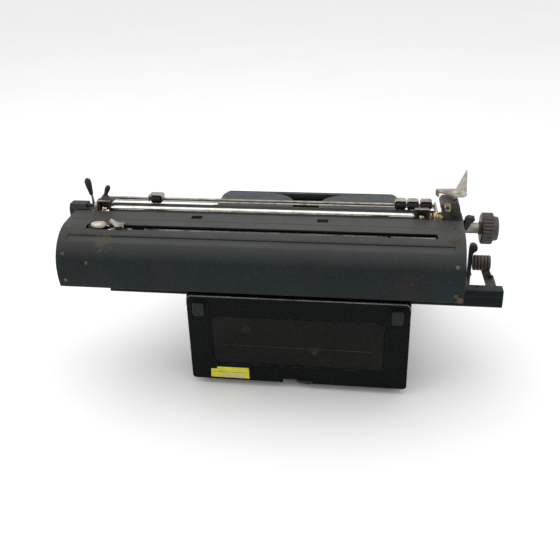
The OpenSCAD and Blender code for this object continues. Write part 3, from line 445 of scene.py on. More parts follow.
RUBBER = moulded("black_rubber", "rubber", (0.010, 0.010, 0.010), (0.017, 0.0165, 0.016),
    rough=(0.5, 0.7), specular=0.3, depth=0.15)
PAD = moulded("bumper_rubber", "rubber", (0.0035, 0.0045, 0.0048), (0.008, 0.009, 0.009),
    rough=(0.3, 0.45), specular=0.25, depth=0.1)
KEY_PLASTIC = moulded("key_plastic", "key_plastic", (0.008, 0.008, 0.009), (0.014, 0.014, 0.015))
BAKELITE = moulded("knob_bakelite", "knob_plastic", (0.016, 0.011, 0.010), (0.05, 0.035, 0.031),
    rough=(0.3, 0.45), size=9.0)
BUFFER = moulded("banded_buffer", "buffer", (0.02, 0.014, 0.010), (0.055, 0.036, 0.024), rough=(0.4, 0.55))
LABEL = moulded("yellow_label", "panel_paint", (0.44, 0.40, 0.010), (0.56, 0.52, 0.02), rough=(0.35, 0.5),
    size=12.0, depth=0.03)
LABEL_STRIP = moulded("label_strip", "panel_paint", (0.36, 0.36, 0.24), (0.46, 0.45, 0.31),
    rough=(0.4, 0.5), size=6.0, depth=0.03)

SLOT_LOOKS = {
    "body_paint": BODY_PAINT, "panel_paint": PANEL_PAINT, "frame_paint": JAPAN, "end_casting": CASTING,
    "steel": STEEL, "nickel": NICKEL, "rubber": RUBBER, "key_plastic": KEY_PLASTIC,
    "knob_plastic": BAKELITE, "brass": BRASS, "buffer": BUFFER,
}


def dress_frame():
    """Gives every CAD node the look of its slot, and small rounds where its edges show."""
    rounds = {"left_side_panel": 0.8, "right_side_panel": 0.8, "front_apron": 1.0,
        "carriage_end_left": 1.4, "carriage_end_right": 1.8, "ribbon_cups": 0.4, "base_frame": 0.6}
    for part in frame["record"]["subparts"]:
        obj = frame["nodes"][part["node"]]
        look = SLOT_LOOKS[part["material_slot"]]
        for slot in obj.material_slots:
            slot.material = look.material
        if part["node"] in rounds:
            weld = obj.modifiers.new("weld", "WELD")
            weld.merge_threshold = 0.02 * MM
            round_edges(obj, rounds[part["node"]], 3, 28)


# -------- rear of the body
FIELD_W, FIELD_H, FIELD_R = 235.4, 75.2, 9
FIELD_Z = 76.4
NOTCH_HALF = 20.4
BOSS_X = 133


def rear_panel():
    """The stamped plate with its hand notch, and the dark field pressed into it."""
    panel = Span("rear_panel")
    x0, x1, low, top = panel.x0, panel.x1, panel.z0, panel.z1
    field = rounded(FIELD_W, FIELD_H, FIELD_R, (0, FIELD_Z), 8)
    plate = Shape().prism(fillet([
        (x0, low, 5), (-NOTCH_HALF, low, 1.2), (-NOTCH_HALF, low + 6.7, 2), (NOTCH_HALF, low + 6.7, 2),
        (NOTCH_HALF, low, 1.2), (x1, low, 5), (x1, top, 6), (x0, top, 6)]), "y", -2.5, 0)
    plate.cut(Shape().prism(field, "y", -1.3, 3))
    plate.piece("rear_panel_plate", PANEL_PAINT, BODY, ["rear_panel"], bevel=0.9, segments=3)
    shelf = Shape().block((x0 + 3, x1 - 3), (-30, -2), (top - 2.4, top - 0.1))
    shelf.piece("rear_panel_shelf", PANEL_PAINT, BODY, bevel=0.5)
    inset = rounded(FIELD_W - 0.6, FIELD_H - 0.6, FIELD_R - 0.3, (0, FIELD_Z), 8)
    floor = Shape().prism(inset, "y", -1.6, -1.05)
    floor.piece("pressed_field", FIELD_PAINT, BODY, bevel=0.2)
    ring = [(u, 0.05, v) for u, v in field]
    Shape().tube(ring + ring[:2], 0.55, 8).piece("field_bead", PANEL_PAINT, BODY)
    crease = Shape().prism(rounded(202, 0.9, 0.4, (0, 68.7)), "y", -1.2, -0.85)
    crease.piece("pressed_line", LINE_PAINT, BODY)
    # The rim tube carries the bright rim paint: a painted highlight along the panel's top edge.
    rim = fillet([(x0 + 1, 118), (x0 + 1, top - 0.6, 6), (x1 - 1, top - 0.6, 6), (x1 - 1, 118)], 6)
    Shape().tube([(u, -0.9, v) for u, v in rim], 1.05, 10).piece("rear_panel_rim_highlight", RIM_HIGHLIGHT_PAINT, BODY)
    bumper("right", BOSS_X)
    bumper("left", -BOSS_X)
    notch_pieces(low)


def bumper(side, x):
    """A rubber pad on its raised boss."""
    rings = [[(u, y, v) for u, v in rounded(28 + grow, 38 + grow, 8.5 + grow / 2, (x, 120))]
        for y, grow in ((-0.5, 0), (0, 0), (0.9, -0.4), (1.5, -2.4), (1.5, -7.6), (0.7, -8.6))]
    Shape().skin(rings).piece(f"bumper_boss_{side}", PANEL_PAINT, BODY)
    place = (x, Span("rear_bumpers").z)
    rings = [[(u, y, v) for u, v in rounded(16.5 - 2 * inset, 21.5 - 2 * inset, 4, place)]
        for y, inset in ((0.3, 0), (3.0, 0), (4.4, 0.5), (5.2, 1.6), (5.2, 2.6), (4.4, 3.4))]
    Shape().skin(rings).piece(f"bumper_{side}", PAD, BODY, ["rear_bumpers"])


def notch_pieces(low):
    """What shows in the hand notch and along the panel's lower edge."""
    tongue = fillet([(-27, 14.5, 1), (-24, 11.5, 4), (-14, 8.6, 12), (-2, 10.4, 6), (4, 14.5, 1)])
    Shape().prism(tongue, "y", -5.5, -2.6).piece("notch_tongue", RUBBER, BODY, bevel=0.6)
    nubs = Shape()
    for x, r in ((62, 2.4), (23.5, 2.8), (-26, 2.2)):
        nubs.spin([(-r, 0), (-0.7 * r, 0.7 * r), (0, r), (2, r)], (x, -4, low + 0.4))
    nubs.piece("bottom_nubs", JAPAN, BODY)


def label():
    """The label keeps a pale strip and a rule, and no lettering."""
    low = Span("rear_panel").z0 + 3
    sheet = fillet([(68, 0, 0.6), (123, 0.2, 0.6), (122.6, 14, 0.6), (114, 14, 0.4), (113.6, 17.4, 0.6),
        (68.4, 17.8, 0.8)], at=(0, low))
    Shape().prism(sheet, "y", 0.02, 0.3).piece("label", LABEL, BODY, bevel=0.08)
    strip = fillet([(74, 1.5, 0.4), (109, 1.7, 0.4), (108.6, 6.6, 0.4), (74, 6.4, 0.4)], at=(0, low))
    Shape().prism(strip, "y", 0.25, 0.36).piece("label_strip", LABEL_STRIP, BODY)
    rule = fillet([(72, 9.0), (121, 9.2), (121, 9.7), (72, 9.5)], at=(0, low))
    Shape().prism(rule, "y", 0.25, 0.34).piece("label_rule", FIELD_PAINT, BODY)


def feet():
    foot = Span("rubber_feet")
    shape = Shape()
    for x in (foot.x0 + 14, foot.x1 - 14):
        for y in (foot.y0 + 14, foot.y1 - 14):
            shape.spin([(0, 9), (0, 11.2), (0.8, 12.2), (6, 13.2), (10.8, 13.8), (12, 13.8)], (x, y, 0))
    shape.piece("feet", RUBBER, BODY, ["rubber_feet"])


# -------- carriage bed and its left end
def bed():
    """The cast bed: its full section in the middle and only a narrow beam at each end."""
    span, pinion = Span("carriage_bed"), Span("escapement_wheel")
    back, low, front, top = span.y1, span.z0, span.y0, span.z1
    h, d = low - top, front - back
    rear = [(-3, h, 2), (0, h + 3, 2), (0, -18.2, 0.5), (-0.9, -17.2, 0.3)]
    outline = fillet([*rear, (-0.9, -9.5, 1.2), (-9, 0, 1.5), (d + 5, 0, 1), (d, -5, 1), (d, h, 1)], 4,
        (back, top))
    beam = fillet([*rear, (-0.9, -9.6, 1.2), (-3, -9, 1), (-18, -9, 1), (-18, h, 1)], 4, (back, top))
    half = Span("bed_rails").x1 + 3
    middle = Shape().prism(outline, "x", -half, half)
    middle.cut(Shape().block((pinion.x0 - 1, pinion.x1 + 1), (front - 3, pinion.y1 - 6.5),
        (pinion.z0 - 1, top + 2)))
    # The bed and its ends carry the darkened enamel: painted shade.
    middle.piece("bed", SHADED_BED_PAINT, BODY, ["carriage_bed"], bevel=1.1, segments=3, smooth=25)
    collar = Shape()
    for s, name in ((-1, "left"), (1, "right")):
        x = s * (span.x1 - 32)
        end = Shape().prism(beam, "x", *sorted((s * (half - 1), s * span.x1)))
        end.cut(Shape().spin([(0, 2.2), (30, 2.2)], (x, back - 12, top - 20), n=20))
        end.piece(f"bed_end_{name}", SHADED_BED_PAINT, BODY, bevel=1.6, segments=4, smooth=25)
        collar.spin([(-3, 1.9), (-3, 3.3), (0.2, 3.6), (0.6, 3.2), (0.6, 2.2), (-1.6, 1.9)],
            (x, back - 12, top - 9))
    collar.piece("bed_screw_collars", JAPAN, BODY)


def bed_left_end():
    stop = Span("stop_buffer")
    r = (stop.z1 - stop.z0) / 2
    bands = [(0, r - 3), (0.4, r - 0.8)]
    for k in range(5):
        start = 0.8 + k * 4.6
        bands += [(start, r - 0.4), (start + 0.5, r), (start + 3.2, r), (start + 3.7, r - 0.5),
            (start + 4.1, r - 1.3)]
    bands += [(23.8, r - 0.8), (24, r - 3), (23.4, r - 5)]
    Shape().spin(bands, (stop.x0, stop.y, stop.z), ALONG_X, n=48).piece(
        "buffer", BUFFER, BODY, ["stop_buffer"])
    lock = Span("bed_lock_lever")
    foot = lock.z0 - lock.z1 - 8
    blade = fillet([(0, foot, 1.5), (5, foot, 1.5), (5, -7, 3), (3.5, -0.5, 3), (-2, 0, 4), (-6, -3, 3),
        (-6, -9, 3), (-1, -13, 3), (0, -19, 3)], at=(lock.x1 - 5, lock.z1))
    Shape().prism(blade, "y", lock.y - 5.5, lock.y + 5.5).piece(
        "lock_lever", JAPAN, "bed_lock", ["bed_lock_lever"], bevel=1.4, segments=3)
    bracket = Span("stop_bracket")
    x, low, back = bracket.x0, bracket.z0, bracket.y1
    post = Shape()
    rise = low + 1 - stop.z
    post.prism(fillet([(0, rise, 1), (13, rise, 1), (20, -7, 2), (17, -3, 2), (9, -4, 2), (7.5, -9, 1.5)],
        at=(x, stop.z)), "y", stop.y - 4, stop.y + 6)
    post.block((x, x + 13), (stop.y - 4, back - 3), (low, low + 7))
    post.block((x, bracket.x1), (back - 5, back), (low, low + 17))
    post.block((bracket.x1 - 6, bracket.x1), (lock.y - 5, back - 3), (low + 2.5, low + 14.5))
    post.piece("stop_post", OLIVE, BODY, ["stop_bracket"], bevel=0.9, segments=3)
    bolts = Shape()
    for bx, bz, by in ((x + 5, low + 9, stop.y + 6), (x + 13, stop.z - 12, stop.y + 6)):
        bolts.spin([(0, 3), (1.8, 3), (2.4, 2.5), (2.4, 0)], (bx, by, bz), ALONG_Y, n=6)
    bolts.spin([(0, 2.5), (9, 2.5), (10, 2.0)], (lock.x1 - 6.5, lock.y, low + 8.5), ALONG_X, n=20)
    bolts.piece("stop_bolts", SCREW, BODY, bevel=0.2)


# -------- rear cover
SHEET = 1.6
TILT = math.radians(4)
FLAT = 36.0
BEND_R = 50.0
LOW_R = 90.0
LOW_A = math.radians(15)
FLAT_TO_BACK = math.pi / 2 - TILT


class CoverLine:
    """The rear cover's profile: a flat stretch, a large bend and a gentle return at the bottom."""

    def __init__(self):
        span = cover_span
        self.top, self.back = span.z1, span.y1
        self.front = span.y0 + SHEET * math.sin(TILT)
        self.bend = (self.back - BEND_R, span.z0 + LOW_R * math.sin(LOW_A))
        self.low = (self.back - LOW_R, self.bend[1])
        self.bend_l = BEND_R * FLAT_TO_BACK
        self.length = FLAT + self.bend_l + LOW_R * LOW_A

    def at(self, s, out=0.0):
        """The point s along the profile, moved outwards by out, and the way that it faces."""
        if s < FLAT:
            facing = math.pi / 2 - TILT
            y, z = self.front + s * math.cos(TILT), self.top - s * math.sin(TILT)
            return (y + out * math.cos(facing), z + out * math.sin(facing)), facing
        if s < FLAT + self.bend_l:
            facing = FLAT_TO_BACK - (s - FLAT) / BEND_R
            return arc_point(self.bend, BEND_R + out, facing), facing
        facing = -(s - FLAT - self.bend_l) / LOW_R
        return arc_point(self.low, LOW_R + out, facing), facing

    def of_y(self, y):
        """How far along the profile the cover reaches y, on its upper half."""
        flat = (y - self.front) / math.cos(TILT)
        if flat < FLAT:
            return flat
        return FLAT + BEND_R * (FLAT_TO_BACK - math.acos((y - self.bend[0]) / BEND_R))


line = CoverLine()
SLOT_Y = 12.0
SLOT_W = 9.4
WINDOWS = {"right": 130.8, "left": -33}


def ease(value):
    value = min(1.0, max(0.0, value))
    return value * value * (3 - 2 * value)


FINE_Y = -8.0
STEP_Y = 27.0


def cover_relief(s, from_middle):
    """How far the sheet is pressed in: a fine groove, a stepped groove and a turned front edge."""
    fine, step = line.of_y(FINE_Y), line.of_y(STEP_Y)
    depth = -0.55 * ease(1 - abs(s - fine) / 1.3) * ease((244 - from_middle) / 1.5)
    along = s - step
    if -0.8 < along < 11:
        drop = ease((along + 0.8) / 1.0) * (1 - ease((along - 2.4) / 8.0))
        depth -= 1.5 * drop * ease((243 - from_middle) / 2.0)
    if s < 1.5:
        depth -= 0.8 * (1 - s / 1.5) ** 2
    if s > line.length - 1.5:
        depth -= 0.7 * ((s - line.length + 1.5) / 1.5) ** 2
    return depth


def rear_cover():
    span = cover_span
    fine, step = line.of_y(FINE_Y), line.of_y(STEP_Y)
    rows = graded(0, line.length, 3.4, [(0, 2), (fine - 1.8, fine + 1.8), (step - 1, step + 11),
        (line.length - 2, line.length)], 0.45)
    ends = [(span.x + side * 244 - 2.5, span.x + side * 244 + 2.5) for side in (-1, 1)]
    columns = graded(span.x0, span.x1, 12, [*ends, (span.x0, span.x0 + 1.5), (span.x1 - 1.5, span.x1)], 0.5)
    rings = []
    for x in columns:
        edge = min(x - span.x0, span.x1 - x)
        roll = -0.7 * (1 - min(1, edge / 1.5)) ** 2
        outer = [line.at(s, cover_relief(s, abs(x - span.x)) + roll)[0] for s in rows]
        inner = [line.at(s, -SHEET)[0] for s in rows]
        hem_y, hem_z = line.at(line.length, -SHEET)[0]
        hem = [(hem_y - 6, hem_z - 0.5), (hem_y - 6, hem_z + 1)]
        rings.append([(x, y, z) for y, z in outer + hem + inner[::-1]])
    sheet = Shape().skin(rings)
    slot_x0, slot_x1 = span.x0 + 33, span.x1 - 33
    h = SLOT_W / 2
    slot = fillet([(slot_x0 - slot_x1, -h, 1.5), (-28, -h, 2), (-25, -h - 1.6, 1.5), (-3, -h - 1.2, 1),
        (0, -h + 1, 1.5), (0.6, h, 1.5), (-38, h + 1.4, 2), (-58, h, 2), (slot_x0 - slot_x1, h, 1.5)], 3,
        (slot_x1, SLOT_Y))
    sheet.cut(Shape().prism(slot, "z", line.top - 30, line.top + 10))
    for x in WINDOWS.values():
        window = rounded(14, 9.4, 1.2, (x, -20), 3)
        sheet.cut(Shape().prism(window, "z", line.top - 12, line.top + 10))
    sheet.piece("cover_sheet", COVER_PAINT, "carriage", ["rear_cover"], smooth=38)
    for name, x in WINDOWS.items():
        latch = Shape().prism(rounded(9, 4.6, 1, (x - 0.5, -19), 3), "z", line.top - 6, line.top - 3.2)
        latch.piece(f"cover_window_{name}", RUBBER, "carriage", bevel=0.4)


def cover_screws():
    screws = Shape()
    for side in (-1, 1):
        x = cover_span.x + side * (cover_span.x1 - cover_span.x - 10)
        for s, twist in ((line.of_y(-9), 20), (line.of_y(14.5), 75), (FLAT + line.bend_l * 0.68, 130),
                (line.length - 11, 50)):
            (y, z), facing = line.at(s)
            axis = Vector((0, math.cos(facing), math.sin(facing)))
            head = Shape().spin([(-2, 1.5), (0.1, 1.5), (0.1, 2.6), (0.5, 2.5), (0.9, 1.9), (1.0, 0)],
                (x, y, z), axis, n=24)
            across = axis.orthogonal().normalized()
            across.rotate(Matrix.Rotation(math.radians(twist), 3, axis))
            other = axis.cross(across)
            corners = ((-3.6, -0.35), (3.6, -0.35), (3.6, 0.35), (-3.6, 0.35))
            bar = [Vector((x, y, z)) + across * a + other * b for a, b in corners]
            head.cut(Shape().skin([[p + axis * h for p in bar] for h in (0.55, 3)]))
            work = head.mesh("work", 1.0, Vector())
            screws.bm.from_mesh(work)
    screws.piece("cover_screw_heads", SCREW, "carriage", ["cover_screws"], smooth=40)


# -------- platen, knob and end castings
def knob():
    disc, cap = Span("platen_knob"), Span("knob_cap")
    centre = (disc.y, disc.z)
    r, thick = (disc.z1 - disc.z0) / 2, disc.x1 - disc.x0
    flutes = 26

    def ripple(angle, along):
        groove = (0.5 + 0.5 * math.cos(flutes * angle)) ** 3
        return 1 - 0.08 * groove * ease((along - 1) / 1.2) * ease((thick - 1 - along) / 1.2)

    profile = [(0, 7.5), (0, 16), (0.3, r - 2), (1.2, r - 0.6), (2.4, r), (8, r), (thick - 2.4, r),
        (thick - 1.2, r - 0.6), (thick - 0.3, r - 3), (thick - 0.3, 11)]
    Shape().spin(profile, (disc.x1, *centre), (-1, 0, 0), n=flutes * 8, ripple=ripple).piece(
        "knob_disc", BAKELITE, "platen", ["platen_knob"], smooth=50)
    cap_r = (cap.z1 - cap.z0) / 2
    Shape().spin([(-0.6, 9), (-0.6, cap_r + 0.5), (0.8, cap_r + 0.4), (4.6, cap_r), (5.6, cap_r - 0.9),
        (6.0, cap_r - 2.6), (5.7, cap_r - 4), (5.2, 7), (5.6, 4.8), (6.0, 4.2), (6.0, 0)],
        (cap.x1, *centre), (-1, 0, 0), n=64).piece("knob_face", BAKELITE, "platen", ["knob_cap"])
    end = Span("carriage_end_left")
    sleeve = Shape().spin([(0, 6.9), (20.5, 6.9), (21, 8.4), (23, 8.4)], (end.x0 - 1, *centre),
        (-1, 0, 0), n=36)
    sleeve.piece("knob_sleeve", BAKELITE, "platen")


def line_space():
    end, disc = Span("carriage_end_left"), Span("platen_knob")
    x = end.x0
    side = fillet([(-1.6, 2, 1), (-3, 16.5, 2.5), (-6.4, 19.8, 2), (-14.8, 18.6, 1), (-14.4, 15.5, 1.2),
        (-10.2, 11.5, 5), (-6, 2, 1)], 4, (x, disc.z))
    wedge = Shape().prism(side, "y", -58, -47)
    collar = [(0, 7.3), (0, 10), (2.4, 10), (2.8, 9.4), (2.8, 7.3)]
    wedge.spin(collar, (x - 1, disc.y, disc.z), (-1, 0, 0), n=36)
    wedge.piece("line_space_wedge", RUBBER, "line_space", ["line_space_lever"], bevel=0.9, segments=3)


def left_end_trim():
    end = Span("carriage_end_left")
    x, top, back = end.x0, end.z1, end.y1
    plate = fillet([(17.5, -12, 1), (23.5, -12.6, 1), (28, -1, 1.5), (19, -0.5, 1.5)], at=(x, top))
    Shape().prism(plate, "y", back - 2.2, back - 0.5).piece("horn_plate", BRASS, "carriage", bevel=0.3)
    screw = [(0, 2.4), (0.7, 2.3), (1.0, 1.7), (0.2, 1.2), (0.1, 0)]
    Shape().spin(screw, (x + 22, back - 0.6, top - 7), ALONG_Y, n=24).piece("horn_screw", SCREW, "carriage")
    button = Shape()
    button.skin([[(u, y, v) for u, v in rounded(9.2 - i, 11 - i, 2, (x + 11.6, end.z0 + 86.5))]
        for y, i in ((back - 2, 0), (back + 1.2, 0), (back + 2.2, 0.8), (back + 2.6, 2.4))])
    button.piece("end_button", RUBBER, "carriage")
    link = [(x + 24.5, -47, top - 6), (x + 27, -44, top - 14), (x + 26.5, -42, top - 24)]
    Shape().tube(link, [1.3, 1.8, 1.4]).piece("horn_link", STEEL, "carriage")
    cup = [(0, 4), (0, 5.6), (1, 6.2), (5, 6.2), (6, 4.4), (8, 4.4), (9, 5.4), (12, 5.4), (12.6, 4)]
    Shape().spin(cup, (x + 26, -42, top - 22), ALONG_X, n=32).piece("bail_spring_cup", BRASS, "carriage")


def return_lever():
    span = Span("return_lever")
    end = Span("carriage_end_left")
    x, base = end.x0, end.z1 + 3.6
    lever = Shape()
    plate = fillet([(36.5, -62, 2), (33, -52, 3), (9, -36.5, 4), (2, -38, 3), (-1, -48, 2), (3, -62, 2),
        (14, -64, 2)], at=(x, 0))
    lever.prism(plate, "z", base + 2.6, base + 4.8)
    lip = fillet([(36.5, -62, 1), (33, -52, 1), (31.5, -53, 1), (35, -62, 1)], at=(x, 0))
    lever.prism(lip, "z", base - 3, base + 3)
    rings = []
    for k in range(7):
        t = k / 6
        xi, yi = x + 12 - 17.0 * t, -60 - 44 * t
        xo, yo = x - 1 - 5.6 * t, -46 - 58.4 * t
        z = base + 3.2 + (span.z1 - base - 5.2) * t
        fold = 2.5 + 9 * math.sin(math.pi * t) ** 0.8 if 0 < t < 1 else 2.0
        rings.append([(xi, yi, z), (xi, yi, z + 1.6), (xo + 0.8, yo, z + 1.6), (xo, yo, z + 0.8),
            (xo - 0.2, yo, z - fold), (xo + 0.9, yo, z - fold), (xo + 1.0, yo, z)])
    lever.skin(rings)
    pin = (x + 14, -50)
    lever.spin([(0, 2.9), (base + 3 - span.z0, 2.9)], (*pin, span.z0), n=24)
    lever.spin([(0, 7.4), (1.6, 7.6), (2.8, 7.0)], (*pin, base), n=32)
    lever.piece("return_lever_plate", NICKEL, "return_lever", ["return_lever"], bevel=0.35)
    boss = [(-0.5, 6.4), (0.6, 6.4), (1.3, 5.8), (1.3, 4.6), (0.7, 4.2), (1.0, 3.4), (1.9, 2.4), (2.1, 0)]
    Shape().spin(boss, (x + 12, -51, base + 4.7), n=36).piece("return_lever_boss", NICKEL, "return_lever")


# -------- paper bail, rest rod and brackets
def bail_hood(shape, x, w, rod, r):
    """A pressed hood, open below, over one small roller."""
    y, z = rod
    top = z + r + 0.9
    a, b = w / 2, w / 2 - 0.9
    outer = fillet([(-a, z - 2.5, 0.4), (-a, top, 3), (a, top, 3), (a, z - 2.5, 0.4)], at=(x, 0))
    inner = fillet([(b, z - 2.5), (b, top - 0.9, 2.2), (-b, top - 0.9, 2.2), (-b, z - 2.5)], at=(x, 0))
    shape.prism(outer + inner, "y", y - r, y + r - 0.4)


def bail():
    span, rollers = Span("bail_bar"), Span("bail_rollers")
    rod = (rollers.y, rollers.z)
    r = (rollers.z1 - rollers.z0) / 2
    left, right = span.x0, span.x1
    pin = (-43.0, 253.0)
    arms = Shape()
    y, z = pin[0] - rod[0], pin[1] - rod[1]
    arm = fillet([(y + 4, z - 5, 4), (y + 4, z + 5, 4), (3, 4, 3), (-5, 3, 3), (-11.5, -4, 2),
        (-11.5, -9, 2), (1, -5, 4)], at=rod)
    for x in (left, right - 3):
        arms.prism(arm, "x", x, x + 2.6)
        arms.spin([(-0.8, 3.6), (0, 4.2), (3, 4.2), (3.9, 3.4), (4.1, 0)], (x, *pin), ALONG_X, n=24)
    arms.piece("bail_arms", NICKEL, "bail", ["bail_bar"], bevel=0.35)
    edge = fillet([(0, 1, 0.4), (0, 4.5, 0.5), (5.5, 3.6, 0.5), (5.5, 2.6, 0.4), (1.2, 3.0, 0.3),
        (1.2, 1, 0.4)], 3, (rod[0] - 12, rod[1] - 9.5))
    Shape().prism(edge, "x", left + 1, right - 1).piece("bail_strip", NICKEL, "bail", smooth=40)
    bar = Shape().spin([(0, 1.9), (right - left - 4, 1.9)], (left + 2, *rod), ALONG_X, n=20)
    bar.piece("bail_rod", STEEL, "bail")
    tyres, hoods = Shape(), Shape()
    side = [(6.7, 2.2), (6.7, r - 1.4), (6.2, r - 0.3), (5.2, r), (0.6, r)]
    tread = [(-d, radius) for d, radius in side] + [(0, r - 0.4)] + side[::-1]
    for x, w in ((201, 19.5), (-131, 15.2), (-147, 15.2), (-164, 15.2)):
        tyres.spin(tread, (x, *rod), ALONG_X, n=40)
        bail_hood(hoods, x, w, rod, r)
    tyres.piece("bail_tyres", RUBBER, "bail_rollers", ["bail_rollers"])
    hoods.piece("bail_hoods", NICKEL, "bail", bevel=0.3)
    x, y = right - 15, -53
    foot = Shape().block((right - 23, right), (y - 5, y + 5), (pin[1] + 3, pin[1] + 5.2))
    foot.spin([(0, 7.8), (1, 7.8), (3.2, 6.0), (6, 3.8), (7.2, 3.4)], (x + 3.5, y, pin[1] + 5), n=32)
    foot.piece("bail_knob_cone", OLIVE, "bail", bevel=0.5)
    lean = Vector((-0.45, 0, 1)).normalized()
    Shape().spin([(0, 2.8), (1, 3.2), (5, 3.7), (9, 4.6), (12, 4.5), (14, 3.0), (14.8, 0)],
        (x + 3, y, pin[1] + 11.6), lean, n=32, squash=0.75).piece("bail_knob_cap", RUBBER, "bail")


def rest_rod():
    span = Span("paper_rest_rod")
    y, z = span.y0 + 5, 252.5
    reach = span.x1 - span.x0 - 32
    bar = Shape().spin([(0, 2.4), (0.6, 2.7), (reach - 1, 2.7), (reach, 2.4)], (span.x0 + 16, y, z),
        ALONG_X, n=28)
    bar.piece("rest_rod", POLISHED, "carriage", ["paper_rest_rod"])
    for name, x in (("left", span.x0), ("right", span.x1 - 16)):
        cup = Shape()
        bow = fillet([(-1, -6, 1), (2, -6, 1), (2, 7.4), (14, 7.4), (14, -6, 1), (17, -6, 1),
            (17, 9.6, 1.5), (-1, 9.6, 1.5)], 3, (x, z))
        cup.prism(bow, "y", y - 5, y + 3.4)
        cup.block((x + 1, x + 15), (y - 5, y - 3.6), (z - 5, z + 8.5))
        cup.piece(f"rest_cup_{name}", RUBBER, "carriage", bevel=0.4)
        edge = fillet([(-1.3, 9, 0.5), (17.3, 9, 0.5), (17.3, 10.4, 0.6), (-1.3, 10.4, 0.6)], 2, (x, z))
        strip = Shape().prism(edge, "y", y + 1.6, y + 4)
        strip.piece(f"rest_cup_edge_{name}", NICKEL, "carriage", bevel=0.3)
        coil = [(0, 2.2), (2, 2.6), (3, 3.4), (5.6, 3.4), (6.2, 2.4)]
        spring = Shape().spin(coil, (x + 5, y, z - 2), ALONG_X, n=24)
        spring.piece(f"rest_spring_{name}", BRASS, "carriage")
        side, tab_x = (1, x - 6) if name == "left" else (-1, x + 17)
        tab = fillet([(0, -7, 1), (5, -7, 1), (5 - side, 2.5, 1.5), (1, 3, 1.5)], 3, (tab_x, z))
        Shape().prism(tab, "y", y - 2, y + 3.4).piece(f"rest_tab_{name}", BRASS, "carriage", bevel=0.4)


def paper_release():
    span = Span("paper_release_lever")
    y, z = -52.0, 238.5
    x = span.x0 + 1.5
    path = [(x, y, z - 4), (x, y, z + 12), (x + 0.4, y, z + 22), (x + 2, y, z + 31)]
    stem = Shape().tube(path, [2.2, 1.8, 1.5, 1.5], 12)
    stem.spin([(0, 3.2), (0, 5.4), (4, 5.4), (4, 3.2)], (span.x0, y, z), ALONG_X)
    stem.piece("release_stem", STEEL, "paper_release")
    lean = Vector((0.15, 0.0, 1)).normalized()
    grip = [(0, 1.7), (0.4, 2.6), (3, 3.3), (9, 4.2), (15, 5.2), (19, 5.3), (22, 4.2), (23.6, 2.2), (24, 0)]
    handle = Shape().spin(grip, (x + 1.2, y, z + 26), lean, n=36, squash=0.8)
    handle.piece("release_handle", RUBBER, "paper_release", ["paper_release_lever"])


# -------- margin stops
def margin_stops():
    left, right = Span("margin_stop_left"), Span("margin_stop_right")
    saddle = Shape()
    for x in (left.x0 + 4, left.x1 - 7):
        saddle.block((x, x + 2.6), (SLOT_Y - 1.2, SLOT_Y + 1.2), (left.z0 + 6, line.top + 1))
    saddle.block((left.x0 + 2, left.x1 - 2), (SLOT_Y - 7, SLOT_Y - 5.2), (left.z0 + 5, left.z0 + 13))
    rings = []
    half = (left.x1 - left.x0) / 2
    for k in range(15):
        t = -1 + 2 * k / 14
        z = line.top - 1.6 + 5.2 * abs(t) ** 1.8 + (1.2 * t if t > 0 else 0)
        deep = 5.6 * math.sqrt(max(0.12, 1 - 0.55 * t * t))
        x = left.x + half * t
        rings.append([(x, SLOT_Y - deep, z), (x, SLOT_Y + deep, z - 0.6), (x, SLOT_Y + deep, z + 0.6),
            (x, SLOT_Y, z + 0.9), (x, SLOT_Y - deep, z + 1.2)])
    saddle.skin(rings)
    saddle.piece("margin_saddle", NICKEL, "stop_left", ["margin_stop_left"], bevel=0.3)
    dish = Shape()
    dish.block((right.x - 4, right.x + 4), (SLOT_Y - 1.4, SLOT_Y + 1.4), (right.z0 + 6, line.top - 5))
    dish.block((right.x0 + 2, right.x1 - 2), (SLOT_Y - 7, SLOT_Y - 5.2), (right.z0 + 5, right.z0 + 13))
    up = Vector((0, 0.35, 1)).normalized()
    bowl = [(-5.2, 0), (-4.8, 4), (-3.4, 7.6), (-1.2, 10), (0, 10.6), (0.5, 10.3), (0, 9.4), (-1.6, 6),
        (-2.2, 0)]
    dish.spin(bowl, (right.x, SLOT_Y, line.top - 1.8), up, n=40, squash=0.62)
    dish.piece("margin_dish", NICKEL, "stop_right", ["margin_stop_right"], smooth=50)


# -------- ribbon cover and keyboard
def lid_ring(half, front, rear, z, inset, corner):
    """One level of the lid, its front corners rounder than its rear ones."""
    a, b = half - inset, max(2.0, corner - inset)
    near = front + 0.2 * inset
    points = [(a, rear, 0.5), (a, near, b), (-a, near, b), (-a, rear, 0.5)]
    return [(u, v, z) for u, v in fillet(points, 10)]


